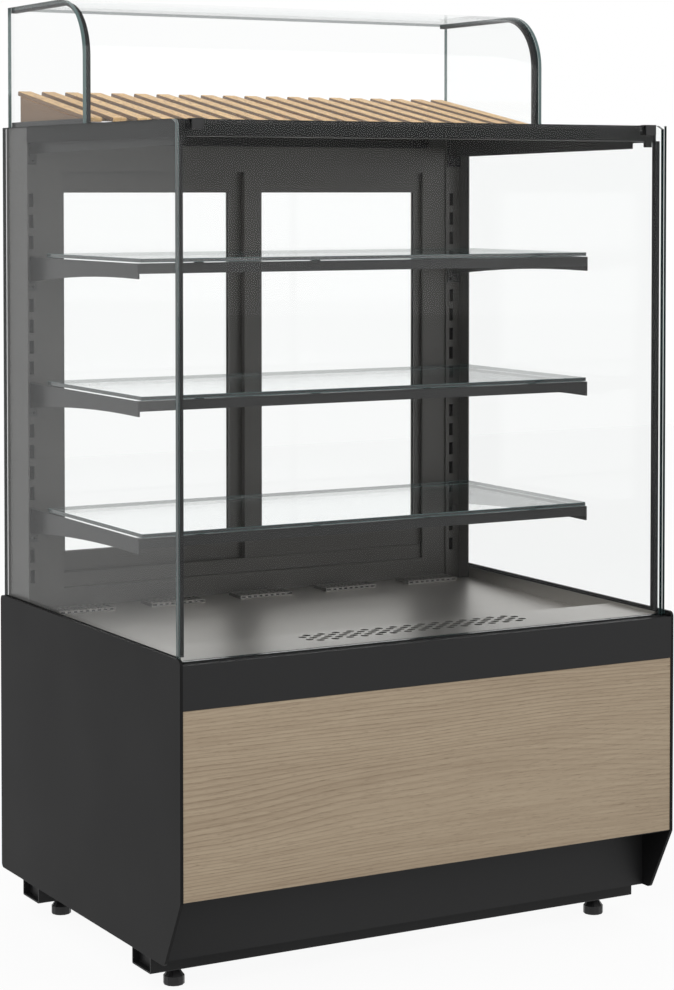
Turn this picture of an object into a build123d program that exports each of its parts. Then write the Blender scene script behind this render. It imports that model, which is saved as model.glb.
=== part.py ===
from build123d import *
import math
import os

# A refrigerated pastry display case: a cabinet base with a cooled deck, a glass chamber
# with three hung shelves and sliding rear doors, and a glass dome over a bread rack.
# Millimetres. X runs to the right, Y to the back, Z up. The origin is on the floor,
# below the middle of the case.

# Overall size
width = 900.0
depth = 705.0

# Underframe and feet
floor_gap = 31.0            # floor to the underside of the cross tubes
tube_height = 27.0
tube_depth = 67.0
tube_wall = 2.5
tube_end_inset = 3.0
tube_cap_recess = 12.0
front_tube_setback = 110.0
rear_tube_setback = 549.0
foot_side_inset = 58.0
foot_pad_radius = 16.5
foot_pad_height = 14.0
foot_neck_radius = 8.5
foot_cone_height = 11.0
foot_stud_radius = 5.0
foot_stud_length = 26.0
foot_shoulder = 0.5
foot_bevel = 1.0
foot_sides = 12
stud_clearance = 0.1
boss_radius = 10.0
boss_height = 8.0
boss_sides = 6

# Base casing
panel_thickness = 5.0
panel_height = 470.0
panel_corner = 8.0
panel_return = 13.0
toe_depth = 57.0
toe_height = 107.0
sheet = 1.5                 # gauge of the folded sheets
tray_flange = 25.0
plinth_setback = 77.0
fascia_drop = 8.5           # top of the fascia below the top of the side panels
fascia_height = 67.5
fascia_foot = 20.0
gasket_channel = 10.0
wood_height = 286.0
wood_thickness = 16.0
wood_setback = 1.0
wood_side_gap = 0.6
wood_edge = 0.8

# Cooled deck
deck_drop = 29.5            # deck floor below the top of the side panels
strip_rise = 21.5           # front air strip above the deck floor
strip_front = 32.0
strip_rear = 160.0
deck_wall_height = 27.0
hole_radius = 5.2
hole_rows = 5
hole_columns = 16
hole_pitch = 26.0
hole_row_pitch = 15.0
grille_front = 72.0
vent_count = 5
vent_pitch = 168.0
vent_width = 102.0
vent_depth = 50.0
vent_height = 11.0
vent_setback = 577.0
vent_slots = 9
vent_slot_width = 6.5
tub_height = 167.0
tub_wall = 35.0
tub_floor = 40.0
tub_front = 32.0
tub_rear = 606.0
tub_rear_wall = 15.0
tub_clearance = 1.0
drain_radius = 8.0
drain_x = -300.0
drain_setback = 480.0
pipe_x = 300.0
pipe_setback = 500.0

# Glass chamber
glass = 6.0
chamber_top = 1326.0
side_glass_inset = 6.0
side_glass_front = 24.0
side_glass_rear = 701.0
corner_cut_depth = 14.0     # top front corner, clear of the tilting front glass
corner_cut_height = 6.0
seal_leg = 1.0
seal_foot = 3.0
beam_seal = 1.5
beam_seal_height = 5.0
front_glass_setback = 17.0
front_glass_gap = 1.0
corner_profile_width = 8.0
corner_profile_depth = 10.0
corner_profile_setback = 27.5

# Rear posts and the doorway between them
post_width = 31.0
post_flange_front = 610.0
post_web_front = 641.0
post_rear = 701.5
post_wall = 2.0
slot_width = 8.0
slot_height = 22.5
slot_pitch = 35.5
slot_first = 564.2
slot_count = 19
slot_inset = 32.7           # slot centre from the outer face of the case
arm_slots = (20, 21)
shelf_slots = (3, 9, 15)
frame_front = 645.0
frame_face = 5.0
frame_flange = 4.0
frame_stile = 48.0
frame_bottom = 499.0
frame_rail = 42.0
frame_top = 1297.0
frame_header = 45.0
groove_width = 1.6
groove_depth = 1.2
groove_rise = 24.5
track_gap = 1.0
track_base = 3.0
track_rib = 2.0
track_bottom_height = 25.0
track_top_height = 39.0
door_thickness = 12.0
door_track_clearance = 1.2
door_outer_stile = 30.0
door_meeting_stile = 34.0
door_top_rail = 69.0
door_bottom_rail = 55.0
door_lift = 5.0
door_overlap = 11.0
door_end_inset = 27.0
door_glass = 5.0
door_rebate = 8.0
pull_width = 14.0
pull_height = 140.0
pull_depth = 7.0
pull_corner = 6.72

# Canopy
beam_front = 38.0
beam_depth = 40.0
beam_height = 24.0
beam_corner = 2.0
canopy_flange = 26.0
canopy_flange_gap = 1.0
arm_thickness = 3.0
arm_inset = 29.4
arm_front_height = 36.0
arm_rear_height = 43.5
plate_thickness = 2.5
plate_width = 27.0
plate_hole = 2.3
plate_hole_spread = 9.4
plate_hole_rise = 6.9
plate_hole_sides = 8
hook_reach = 4.6
hook_clearance = 0.3
hook_drop = 6.0
hook_height = 16.0
hinge_axis_setback = 27.5
hinge_axis_drop = 7.0
clamp_width = 20.0
clamp_inset = 29.0
clamp_wall = 2.5
clamp_below = 9.0
clamp_above = 7.6
clamp_behind = 3.0
clamp_cap = 1.0
clamp_side_gap = 0.5
ear_radius = 3.5
pin_radius = 1.9
pin_clearance = 0.1
ear_sides = 16
bore_sides = 24
ear_thickness = 4.0
lamp_setback = 413.0
lamp_depth = 30.0
lamp_height = 16.0
lamp_length = 760.0
lamp_chamfer = 4.0

# Shelves
shelf_front = 203.0
shelf_rear = 578.0
shelf_glass_inset = 34.0
shelf_rail_front = 207.0
shelf_rail_size = 16.0
shelf_rail_wall = 2.0
pad_thickness = 1.6
pad_size = 12.0
bracket_front_height = 24.0
bracket_middle_height = 25.5
bracket_rear_height = 42.0
bracket_top_rise = 10.4     # bracket top above the centre of its upper slot
lug_width = 14.0
lug_depth = 20.0
lug_thickness = 2.0
lug_setback = 545.0
glass_corner = 1.6

# Dome and bread rack
dome_inset = 12.0
dome_front = 375.0
dome_rear = 690.0
dome_height = 203.0
dome_bend = 95.0
dome_glass = 6.0
bent_glass = 5.0
dome_gap = 0.3
trim_width = 9.5
trim_thickness = 4.0
base_rise = 9.0
slat_count = 20
slat_pitch = 43.2
slat_width = 25.0
slat_thickness = 12.0
slat_corner = 3.0
rack_front = 388.0
rack_rear = 684.0
rack_front_rise = 2.0       # slat underside above the dome base at the front
rack_rear_rise = 42.0
cheek_thickness = 15.0
batten_depth = 30.0
batten_thickness = 6.0
batten_inset = 22.0

# Machinery
compressor_radius = 82.0
compressor_height = 175.0
compressor_x = 215.0
compressor_shoulder = 30.0
casing_sides = 36
compressor_foot_x = 196.0
compressor_foot_y = 130.0
compressor_foot_corner = 12.0
compressor_setback = 430.0
coil_width = 300.0
coil_height = 200.0
coil_depth = 55.0
coil_x = -205.0
coil_rear_gap = 24.0
fin_count = 24
fin_gap = 4.0
fin_depth = 12.0
shroud_depth = 30.0
shroud_wall = 2.0
condenser_fan_radius = 88.0
fan_clearance = 5.0
fan_hub_radius = 22.0
fan_hub_depth = 18.0
fan_blades = 5
motor_radius = 30.0
motor_depth = 42.0
shaft_radius = 4.0
shaft_sink = 1.0
bar_width = 12.0
blade_thickness = 2.0
blade_tip_chord = 0.62     # of the fan radius
blade_root_chord = 0.8     # of the hub radius
blade_pitch = 30.0
blade_sink = 2.0
evaporator_width = 420.0
evaporator_height = 80.0
evaporator_depth = 120.0
evaporator_fan_radius = 45.0
evaporator_fan_height = 54.0
evaporator_fan_gap = 36.0
fan_plate_height = 116.0
pipe_radius = 4.0
pipe_bend = 12.0
pipe_rise = 60.0
pipe_sides = 8
suction_offset = 28.0

# Controls
control_height = 98.0
panel_gap = 0.5
panel_recess = 3.0
controller_width = 78.0
controller_height = 36.0
controller_body = 52.0
bezel_rise = 3.0
bezel_wall = 4.0
bezel_body_wall = 2.0
bezel_depth = 16.0
lens_depth = 0.6
lens_width = 34.0
lens_height = 18.0
lens_offset = 14.0
rocker_width = 26.0
rocker_height = 20.0
rocker_spacing = 52.0
rocker_gap = 0.4
rocker_tilt = 8.0
rocker_dish = 2.0
rocker_rise = 3.2
pivot_radius = 1.5
pivot_length = 1.2
inlet_width = 48.0
inlet_height = 26.0
inlet_depth = 22.0
inlet_pin_pitch = 9.0
inlet_pin_width = 2.0
inlet_pin_height = 7.0
controller_x = 250.0
switch_x = 120.0
inlet_x = -300.0
louvre_columns = 4
louvre_rows = 11
louvre_width = 150.0
louvre_height = 5.0
louvre_pitch_x = 185.0
louvre_pitch_z = 24.0
lip_width = 12.0
louvre_rise = 4.5
screw_radius = 4.0
screw_head = 2.2
screw_sides = 6
panel_screw_inset = 14.0

# Levels and planes worked out from the sizes above
half_width = width / 2
front_y = -depth / 2
tube_top = floor_gap + tube_height
panel_top = tube_top + panel_height
inner_half = half_width - panel_thickness
tray_top = tube_top + sheet
fascia_top = panel_top - fascia_drop
fascia_bottom = fascia_top - fascia_height
wood_bottom = fascia_bottom - wood_height
deck_z = panel_top - deck_drop
strip_z = deck_z + strip_rise
tub_top = deck_z - sheet
glass_outer = half_width - side_glass_inset
glass_inner = glass_outer - glass
liner_half = glass_inner - seal_leg
gasket_top = fascia_top + sheet
front_glass_bottom = gasket_top + front_glass_gap
post_half = liner_half - post_width
plate_y = front_y + post_web_front
roof_bottom = chamber_top - sheet
service_rear = front_y + post_rear - panel_recess
slot_x = half_width - slot_inset
arm_outer = half_width - arm_inset
dome_outer = half_width - dome_inset
dome_inner = dome_outer - dome_glass
dome_top = chamber_top + dome_height
base_top = chamber_top + base_rise
control_bottom = frame_bottom - sheet - control_height
ear_x = half_width - clamp_inset - clamp_width - clamp_side_gap

os.makedirs("parts", exist_ok=True)


def front_plane(y):
    # sketch axes X and Z, extruding a negative amount goes to the back
    return Plane(origin=(0, y, 0), x_dir=(1, 0, 0), z_dir=(0, -1, 0))


def side_plane(x):
    # sketch axes Y and Z, extruding goes to the right
    return Plane(origin=(x, 0, 0), x_dir=(0, 1, 0), z_dir=(1, 0, 0))


def level(z):
    return Plane.XY.offset(z)


def block(x0, x1, y0, y1, z0, z1, mode=Mode.ADD):
    # a plain block between two corners, added to the part being built or cut from it
    with BuildSketch(level(z0)) as base:
        with Locations(((x0 + x1) / 2, (y0 + y1) / 2)):
            Rectangle(abs(x1 - x0), abs(y1 - y0))
    extrude(base.sketch, amount=z1 - z0, mode=mode)


def mirrored(piece):
    return mirror(piece.part, about=Plane.YZ)


def save(piece, name):
    piece.part.label = name
    export_step(piece.part, f"parts/{name}.step")


def slot_z(index):
    return slot_first + index * slot_pitch


# Underframe: two capped cross tubes with threaded bosses for the feet
foot_x = half_width - foot_side_inset
tube_setbacks = (front_tube_setback, rear_tube_setback)
with BuildPart() as underframe:
    tube_half = half_width - tube_end_inset
    for setback in tube_setbacks:
        with BuildSketch(side_plane(-tube_half)):
            with Locations((front_y + setback + tube_depth / 2, floor_gap + tube_height / 2)):
                RectangleRounded(tube_depth, tube_height, tube_wall)
                Rectangle(tube_depth - 2 * tube_wall, tube_height - 2 * tube_wall, mode=Mode.SUBTRACT)
        extrude(amount=2 * tube_half)
        for side in (-1, 1):
            cap_x = side * (tube_half - tube_cap_recess)
            y0 = front_y + setback + tube_wall
            block(cap_x - sheet, cap_x + sheet, y0, y0 + tube_depth - 2 * tube_wall,
                  floor_gap + tube_wall, tube_top - tube_wall)
    for setback in tube_setbacks:
        boss_places = [(side * foot_x, front_y + setback + tube_depth / 2) for side in (-1, 1)]
        with BuildSketch(level(floor_gap + tube_wall)):
            with Locations(*boss_places):
                RegularPolygon(boss_radius, boss_sides)
        extrude(amount=boss_height)
        with BuildSketch(level(floor_gap)):
            with Locations(*boss_places):
                RegularPolygon(foot_stud_radius + stud_clearance, foot_sides)
        extrude(amount=tube_wall + boss_height, mode=Mode.SUBTRACT)
save(underframe, "underframe")

# Levelling feet: a faceted pad, a conical shoulder and a stud in the boss
foot_names = ("foot_front_left", "foot_front_right", "foot_rear_left", "foot_rear_right")
for index, name in enumerate(foot_names):
    side = -1 if index % 2 == 0 else 1
    centre_y = front_y + tube_setbacks[index // 2] + tube_depth / 2
    with BuildPart() as foot:
        with BuildSketch(Plane(origin=(side * foot_x, centre_y, 0))):
            RegularPolygon(foot_pad_radius, foot_sides)
        extrude(amount=foot_pad_height)
        chamfer(foot.edges().group_by(Axis.Z)[0], length=foot_bevel)
        with BuildSketch(Plane(origin=(side * foot_x, centre_y, foot_pad_height))):
            RegularPolygon(foot_pad_radius - foot_shoulder, foot_sides)
        with BuildSketch(Plane(origin=(side * foot_x, centre_y, foot_pad_height + foot_cone_height))):
            RegularPolygon(foot_neck_radius, foot_sides)
        loft(ruled=True)
        with BuildSketch(Plane(origin=(side * foot_x, centre_y, foot_pad_height + foot_cone_height))):
            RegularPolygon(foot_stud_radius, foot_sides)
        extrude(amount=foot_stud_length)
    save(foot, name)

# Floor tray of the machine space, standing on the cross tubes
with BuildPart() as base_tray:
    tray_front = front_y + plinth_setback + sheet
    tray_rear = front_y + post_rear + sheet
    with BuildSketch(side_plane(-inner_half)):
        with BuildLine():
            Polyline((tray_front, tube_top + tray_flange), (tray_front, tube_top),
                     (tray_rear, tube_top), (tray_rear, tube_top + tray_flange))
            offset(amount=sheet, side=Side.LEFT)
        make_face()
    extrude(amount=2 * inner_half)
save(base_tray, "base_tray")

# Side panels: a cranked outline with a toe recess and a return along the rear edge
with BuildPart() as side_panel_left:
    with BuildSketch(side_plane(-half_width)):
        with BuildLine():
            FilletPolyline((front_y, tube_top + toe_height), (front_y + toe_depth, tube_top),
                           (-front_y, tube_top), (-front_y, panel_top), (front_y, panel_top),
                           radius=panel_corner, close=True)
        make_face()
    extrude(amount=panel_thickness)
    block(-inner_half, -half_width + panel_return, -front_y - sheet, -front_y,
          tube_top + panel_corner, deck_z)
save(side_panel_left, "side_panel_left")

with BuildPart() as side_panel_right:
    add(mirrored(side_panel_left))
save(side_panel_right, "side_panel_right")

# Front fascia: folded sheet with a foot over the wood panel and a channel for the gasket
with BuildPart() as front_fascia:
    channel_y = front_y + front_glass_setback - front_glass_gap
    with BuildSketch(side_plane(-inner_half)):
        with BuildLine():
            Polyline((front_y + fascia_foot, fascia_bottom), (front_y, fascia_bottom),
                     (front_y, fascia_top), (channel_y, fascia_top),
                     (channel_y, fascia_top - gasket_channel),
                     (front_y + strip_front, fascia_top - gasket_channel))
            offset(amount=sheet, side=Side.RIGHT)
        make_face()
    extrude(amount=2 * inner_half)
    with BuildSketch(level(fascia_top)):
        for side in (-1, 1):
            with Locations((side * inner_half, front_y + side_glass_front + gasket_channel / 2)):
                Rectangle(2 * (inner_half - liner_half + seal_leg), gasket_channel + seal_leg)
    extrude(amount=-2 * gasket_channel, mode=Mode.SUBTRACT)
save(front_fascia, "front_fascia")

# Wood front panel
with BuildPart() as wood_front_panel:
    wood_half = inner_half - wood_side_gap
    block(-wood_half, wood_half, front_y + wood_setback, front_y + wood_setback + wood_thickness,
          wood_bottom, fascia_bottom)
    chamfer(wood_front_panel.edges().filter_by(Axis.X), length=wood_edge)
save(wood_front_panel, "wood_front_panel")

# Plinth: an upright sheet set back below the wood panel, folded forward under it
with BuildPart() as plinth_panel:
    plinth_y = front_y + plinth_setback
    with BuildSketch(side_plane(-inner_half)):
        with BuildLine():
            Polyline((front_y + 3 * wood_setback, wood_bottom), (plinth_y + sheet, wood_bottom),
                     (plinth_y + sheet, tube_top))
            offset(amount=sheet, side=Side.RIGHT)
        make_face()
    extrude(amount=2 * inner_half)
save(plinth_panel, "plinth_panel")

# Insulated tub below the deck, reaching back between the posts to the rear air vents
drain_y = front_y + drain_setback
pipe_y = front_y + pipe_setback
with BuildPart() as insulated_tub:
    tub_back = front_y + frame_front - tub_clearance
    tub_back_half = post_half - tub_clearance
    block(-inner_half, inner_half, front_y + tub_front, front_y + tub_rear,
          tub_top - tub_height, tub_top)
    block(-tub_back_half, tub_back_half, front_y + tub_rear, tub_back, tub_top - tub_height, tub_top)
    with BuildSketch(level(tub_top)):
        with Locations((0, front_y + (tub_front + tub_rear) / 2)):
            Rectangle(2 * (inner_half - tub_wall), tub_rear - tub_front - 2 * tub_wall)
        with Locations((0, tub_back - tub_rear_wall - tub_wall)):
            Rectangle(2 * (tub_back_half - tub_rear_wall), 2 * tub_wall)
    extrude(amount=-(tub_height - tub_floor), mode=Mode.SUBTRACT)
    with BuildSketch(level(tub_top - tub_height)):
        with Locations((drain_x, drain_y), (pipe_x, pipe_y)):
            RegularPolygon(drain_radius, bore_sides)
    extrude(amount=tub_floor, mode=Mode.SUBTRACT)
save(insulated_tub, "insulated_tub")

# Deck: a stainless tray, lower than the air strip along its front
with BuildPart() as deck_plate:
    step_y = front_y + strip_rear
    with BuildSketch(side_plane(-liner_half)):
        with BuildLine():
            Polyline((front_y + strip_front, tub_top), (front_y + strip_front, strip_z),
                     (step_y, strip_z), (step_y, deck_z), (front_y + tub_rear, deck_z))
            offset(amount=sheet, side=Side.RIGHT)
        make_face()
    extrude(amount=2 * liner_half)
    block(-post_half, post_half, front_y + tub_rear, front_y + frame_front, tub_top, deck_z)
    for side in (-1, 1):
        wall_x = side * liner_half
        block(wall_x, wall_x - side * sheet, front_y + strip_front, front_y + tub_rear,
              tub_top, tub_top + deck_wall_height)
    grille_places = []
    for row in range(hole_rows):
        for column in range(hole_columns - row % 2):
            shift = column - (hole_columns - 1 - row % 2) / 2
            grille_places.append((shift * hole_pitch, front_y + grille_front + row * hole_row_pitch))
    with BuildSketch(level(strip_z)):
        with Locations(*grille_places):
            RegularPolygon(hole_radius, 6)
    extrude(amount=-sheet, mode=Mode.SUBTRACT)
    vent_places = [((index - (vent_count - 1) / 2) * vent_pitch, front_y + vent_setback + vent_depth / 2)
                   for index in range(vent_count)]
    with BuildSketch(level(deck_z)):
        with Locations(*vent_places):
            Rectangle(vent_width - 4 * sheet, vent_depth - 4 * sheet)
    extrude(amount=-sheet, mode=Mode.SUBTRACT)
save(deck_plate, "deck_plate")

# Rear air vents: raised hoods over the deck openings, slotted across
with BuildPart() as rear_air_vents:
    vent_step = (vent_width - 2 * sheet) / vent_slots
    for centre_x, centre_y in vent_places:
        with BuildSketch(side_plane(centre_x - vent_width / 2)):
            with BuildLine():
                Polyline((centre_y - vent_depth / 2, deck_z), (centre_y - vent_depth / 2, deck_z + sheet),
                         (centre_y + vent_depth / 2, deck_z + vent_height),
                         (centre_y + vent_depth / 2, deck_z), close=True)
            make_face()
        extrude(amount=vent_width)
        with BuildSketch(level(deck_z)):
            with Locations((centre_x, centre_y)):
                with GridLocations(vent_step, vent_depth, vent_slots, 1):
                    Rectangle(vent_slot_width, vent_depth - 4 * sheet)
        extrude(amount=vent_height, mode=Mode.SUBTRACT)
save(rear_air_vents, "rear_air_vents")

# Rear posts: a box section with a forward flange, slotted for the hooks
with BuildPart() as rear_post_left:
    post_x = -liner_half
    with BuildSketch(level(tray_top)):
        with Locations((post_x + post_width / 2, front_y + (post_web_front + post_rear) / 2)):
            Rectangle(post_width, post_rear - post_web_front)
            Rectangle(post_width - 2 * post_wall, post_rear - post_web_front - 2 * post_wall,
                      mode=Mode.SUBTRACT)
        with Locations((post_x + post_wall / 2, front_y + (post_flange_front + post_web_front) / 2)):
            Rectangle(post_wall, post_web_front - post_flange_front)
    extrude(amount=roof_bottom - tray_top)
    lip_rear = service_rear - sheet
    block(-post_half, -post_half + lip_width, lip_rear - post_wall, lip_rear, tray_top, frame_bottom - sheet)
    slot_levels = [slot_z(index) for index in (*range(slot_count), *arm_slots)]
    with BuildSketch(front_plane(plate_y)):
        with Locations(*[(-slot_x, z) for z in slot_levels]):
            Rectangle(slot_width, slot_height)
    extrude(amount=-post_wall, mode=Mode.SUBTRACT)
save(rear_post_left, "rear_post_left")

with BuildPart() as rear_post_right:
    add(mirrored(rear_post_left))
save(rear_post_right, "rear_post_right")

# Rear frame: a mitred face round the doorway with a flange back along its outside
frame_half = post_half
opening_half = frame_half - frame_stile
opening_bottom = frame_bottom + frame_rail
opening_top = frame_top - frame_header
frame_middle = (frame_bottom + frame_top) / 2
with BuildPart() as rear_frame:
    face_y = front_y + frame_front
    flange_rear = front_y + post_rear
    with BuildSketch(front_plane(face_y)):
        with Locations((0, frame_middle)):
            Rectangle(2 * frame_half, frame_top - frame_bottom)
    extrude(amount=-(flange_rear - face_y))
    with BuildSketch(front_plane(face_y + frame_face)):
        with Locations((0, frame_middle)):
            Rectangle(2 * (frame_half - frame_flange), frame_top - frame_bottom - 2 * frame_flange)
    extrude(amount=-(flange_rear - face_y), mode=Mode.SUBTRACT)
    with BuildSketch(front_plane(face_y)):
        with Locations((0, (opening_bottom + opening_top) / 2)):
            Rectangle(2 * opening_half, opening_top - opening_bottom)
    extrude(amount=-frame_face, mode=Mode.SUBTRACT)
    # a shadow line along the head of the frame
    with BuildSketch(front_plane(face_y)):
        with Locations((0, opening_top + groove_rise)):
            Rectangle(2 * (opening_half + groove_rise), groove_width)
    extrude(amount=-groove_depth, mode=Mode.SUBTRACT)
save(rear_frame, "rear_frame")

# Door tracks: three ribs on a base, one below the doors and one above them
track_half = frame_half - frame_flange
track_front = front_y + frame_front + frame_face + track_gap
lane = door_thickness + 2 * door_track_clearance
track_depth = 3 * track_rib + 2 * lane
track_foot = frame_bottom + frame_flange
track_head = frame_top - frame_flange
with BuildPart() as door_tracks:
    for z, rise in ((track_foot, 1), (track_head, -1)):
        if rise > 0:
            reach = opening_bottom + track_bottom_height - z
            thick = opening_bottom + track_base - z
        else:
            reach = z - (track_head - track_top_height)
            thick = track_base
        with BuildSketch(side_plane(-track_half)):
            with Locations((track_front + track_depth / 2, z + rise * thick / 2)):
                Rectangle(track_depth, thick)
            for rib in range(3):
                rib_y = track_front + track_rib / 2 + rib * (lane + track_rib)
                with Locations((rib_y, z + rise * reach / 2)):
                    Rectangle(track_rib, reach)
        extrude(amount=2 * track_half)
save(door_tracks, "door_tracks")

# Rear doors: a glazed frame with a finger pull sunk into its outer stile
door_bottom = opening_bottom + track_base
door_top = track_head - track_base - door_lift
door_height = door_top - door_bottom
window_bottom = door_bottom + door_bottom_rail
window_top = door_top - door_top_rail
door_lanes = (("rear_door_left", -1, 1), ("rear_door_right", 1, 0))
for name, side, lane_index in door_lanes:
    door_y = track_front + track_rib + door_track_clearance + lane_index * (lane + track_rib)
    outer_x = side * (track_half - door_end_inset)
    inner_x = -side * door_overlap / 2
    door_centre = ((outer_x + inner_x) / 2, (door_bottom + door_top) / 2)
    pane_outer = outer_x - side * door_outer_stile
    pane_inner = inner_x + side * door_meeting_stile
    pane_centre = ((pane_outer + pane_inner) / 2, (window_bottom + window_top) / 2)
    window = (abs(pane_outer - pane_inner), window_top - window_bottom)
    pane = (window[0] + 2 * door_rebate, window[1] + 2 * door_rebate)
    pane_y = door_y + (door_thickness - door_glass) / 2
    with BuildPart() as door:
        with BuildSketch(front_plane(door_y)):
            with Locations(door_centre):
                Rectangle(abs(outer_x - inner_x), door_height)
            with Locations(pane_centre):
                Rectangle(*window, mode=Mode.SUBTRACT)
        extrude(amount=-door_thickness)
        with BuildSketch(front_plane(pane_y)):
            with Locations(pane_centre):
                Rectangle(*pane)
        extrude(amount=-door_glass, mode=Mode.SUBTRACT)
        with BuildSketch(front_plane(door_y + door_thickness - pull_depth)):
            with Locations((outer_x - side * door_outer_stile / 2, pane_centre[1])):
                RectangleRounded(pull_width, pull_height, pull_corner)
        extrude(amount=-pull_depth, mode=Mode.SUBTRACT)
    save(door, name)
    with BuildPart() as door_pane:
        with BuildSketch(front_plane(pane_y)):
            with Locations(pane_centre):
                Rectangle(*pane)
        extrude(amount=-door_glass)
    save(door_pane, name + "_glass")

# Side glasses, standing in gaskets on the edge of the tub
side_glass_bottom = tub_top + seal_foot
side_rear_y = front_y + side_glass_rear
side_front_y = front_y + side_glass_front
for name, side in (("side_glass_left", -1), ("side_glass_right", 1)):
    with BuildPart() as side_glass:
        with BuildSketch(side_plane(side * glass_inner if side > 0 else -glass_outer)):
            with BuildLine():
                Polyline((side_front_y, side_glass_bottom), (side_rear_y, side_glass_bottom),
                         (side_rear_y, chamber_top), (side_front_y + corner_cut_depth, chamber_top),
                         (side_front_y, chamber_top - corner_cut_height), close=True)
            make_face()
        extrude(amount=glass)
    save(side_glass, name)

# Seals: channels and corner profiles of the side glasses, bed and head strip of the front glass
seal_half = post_half + post_width - post_wall
seal_top = panel_top - seal_leg
with BuildPart() as glass_seals:
    profile_y = front_y + corner_profile_setback
    for side in (-1, 1):
        block(side * liner_half, side * inner_half, side_front_y, side_rear_y, tub_top, side_glass_bottom)
        block(side * liner_half, side * glass_inner, side_front_y, side_rear_y, side_glass_bottom, seal_top)
        block(side * glass_outer, side * inner_half, side_front_y, side_rear_y, side_glass_bottom, seal_top)
        block(side * (glass_inner - corner_profile_width), side * glass_inner,
              profile_y, profile_y + corner_profile_depth, seal_top, roof_bottom - beam_height)
    block(-seal_half, seal_half, front_y + front_glass_setback - front_glass_gap, front_y + strip_front,
          fascia_top - gasket_channel, gasket_top)
    block(-seal_half, seal_half, front_y + beam_front - beam_seal, front_y + beam_front,
          roof_bottom - beam_seal_height, roof_bottom)
    for side in (-1, 1):
        block(side * (ear_x + clamp_side_gap), side * (ear_x - ear_thickness - clamp_side_gap),
              front_y + beam_front - beam_seal, front_y + beam_front,
              roof_bottom - beam_seal_height, roof_bottom, mode=Mode.SUBTRACT)
save(glass_seals, "glass_seals")

# Front glass, hung from two clamps on its top edge
glass_y = front_y + front_glass_setback
glass_top = chamber_top - clamp_cap
hinge_y = front_y + hinge_axis_setback
hinge_z = chamber_top - hinge_axis_drop
with BuildPart() as front_glass:
    block(-glass_outer, glass_outer, glass_y, glass_y + glass, front_glass_bottom, glass_top)
save(front_glass, "front_glass")

with BuildPart() as front_glass_clamps:
    clamp_outer = half_width - clamp_inset
    for side in (-1, 1):
        clamp_start = clamp_outer - clamp_width if side > 0 else -clamp_outer
        with BuildSketch(side_plane(clamp_start)):
            with BuildLine():
                Polyline((glass_y - clamp_wall, hinge_z - clamp_below),
                         (glass_y, hinge_z - clamp_below), (glass_y, glass_top),
                         (glass_y + glass, glass_top), (glass_y + glass, hinge_z - clamp_below),
                         (hinge_y + clamp_behind, hinge_z - clamp_below),
                         (hinge_y + clamp_behind, hinge_z + clamp_above),
                         (glass_y - clamp_wall, hinge_z + clamp_above), close=True)
            make_face()
            with Locations((hinge_y, hinge_z)):
                Circle(pin_radius + pin_clearance, mode=Mode.SUBTRACT)
        extrude(amount=clamp_width)
save(front_glass_clamps, "front_glass_clamps")

with BuildPart() as hinge_brackets:
    beam_y = front_y + beam_front
    for side in (-1, 1):
        with BuildSketch(side_plane(ear_x - ear_thickness if side > 0 else -ear_x)):
            with Locations((hinge_y, hinge_z)):
                RegularPolygon(ear_radius, ear_sides)
            with Locations(((hinge_y + beam_y) / 2, hinge_z)):
                Rectangle(beam_y - hinge_y, 2 * ear_radius)
        extrude(amount=ear_thickness)
        with BuildSketch(side_plane(ear_x if side > 0 else -clamp_outer)):
            with Locations((hinge_y, hinge_z)):
                Circle(pin_radius)
        extrude(amount=clamp_width + clamp_side_gap)
save(hinge_brackets, "hinge_brackets")

# Canopy: front beam, roof panel with side flanges, arms hooked into the posts, lamp
canopy_half = glass_inner - sheet
with BuildPart() as front_beam:
    with BuildSketch(side_plane(-canopy_half)):
        with Locations((front_y + beam_front + beam_depth / 2, roof_bottom - beam_height / 2)):
            Rectangle(beam_depth, beam_height)
    extrude(amount=2 * canopy_half)
    fillet(front_beam.edges().filter_by(Axis.X).group_by(Axis.Z)[0], beam_corner)
save(front_beam, "front_beam")

with BuildPart() as roof_panel:
    block(-glass_inner, glass_inner, front_y + beam_front, front_y + post_rear, roof_bottom, chamber_top)
    for side in (-1, 1):
        block(side * glass_inner, side * canopy_half, front_y + beam_front,
              front_y + post_flange_front - canopy_flange_gap, roof_bottom - canopy_flange, roof_bottom)
    block(-post_half, post_half, front_y + post_rear - sheet, front_y + post_rear, frame_top, roof_bottom)
save(roof_panel, "roof_panel")


def hook_plate(side, bottom, top, indices):
    # the end plate of a bracket with its two holes, and the hooks through the post slots
    plate_outer = side * (seal_half - 2 * pin_clearance)
    plate_front = plate_y - plate_thickness
    block(plate_outer, plate_outer - side * plate_width, plate_front, plate_y, bottom, top)
    with BuildSketch(front_plane(plate_front)) as holes:
        with Locations((side * (arm_outer - arm_thickness / 2), bottom + plate_hole_rise)):
            with GridLocations(plate_hole_spread, 1, 2, 1):
                RegularPolygon(plate_hole, plate_hole_sides)
    extrude(holes.sketch, amount=-plate_thickness, mode=Mode.SUBTRACT)
    hook_x = (side * arm_outer, side * (arm_outer - arm_thickness))
    behind = plate_y + post_wall + hook_clearance
    for index in indices:
        seat = slot_z(index) - slot_height / 2
        block(*hook_x, plate_y, behind + hook_reach, seat, seat + hook_height)
        block(*hook_x, behind, behind + hook_reach, seat - hook_drop, seat)


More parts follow.
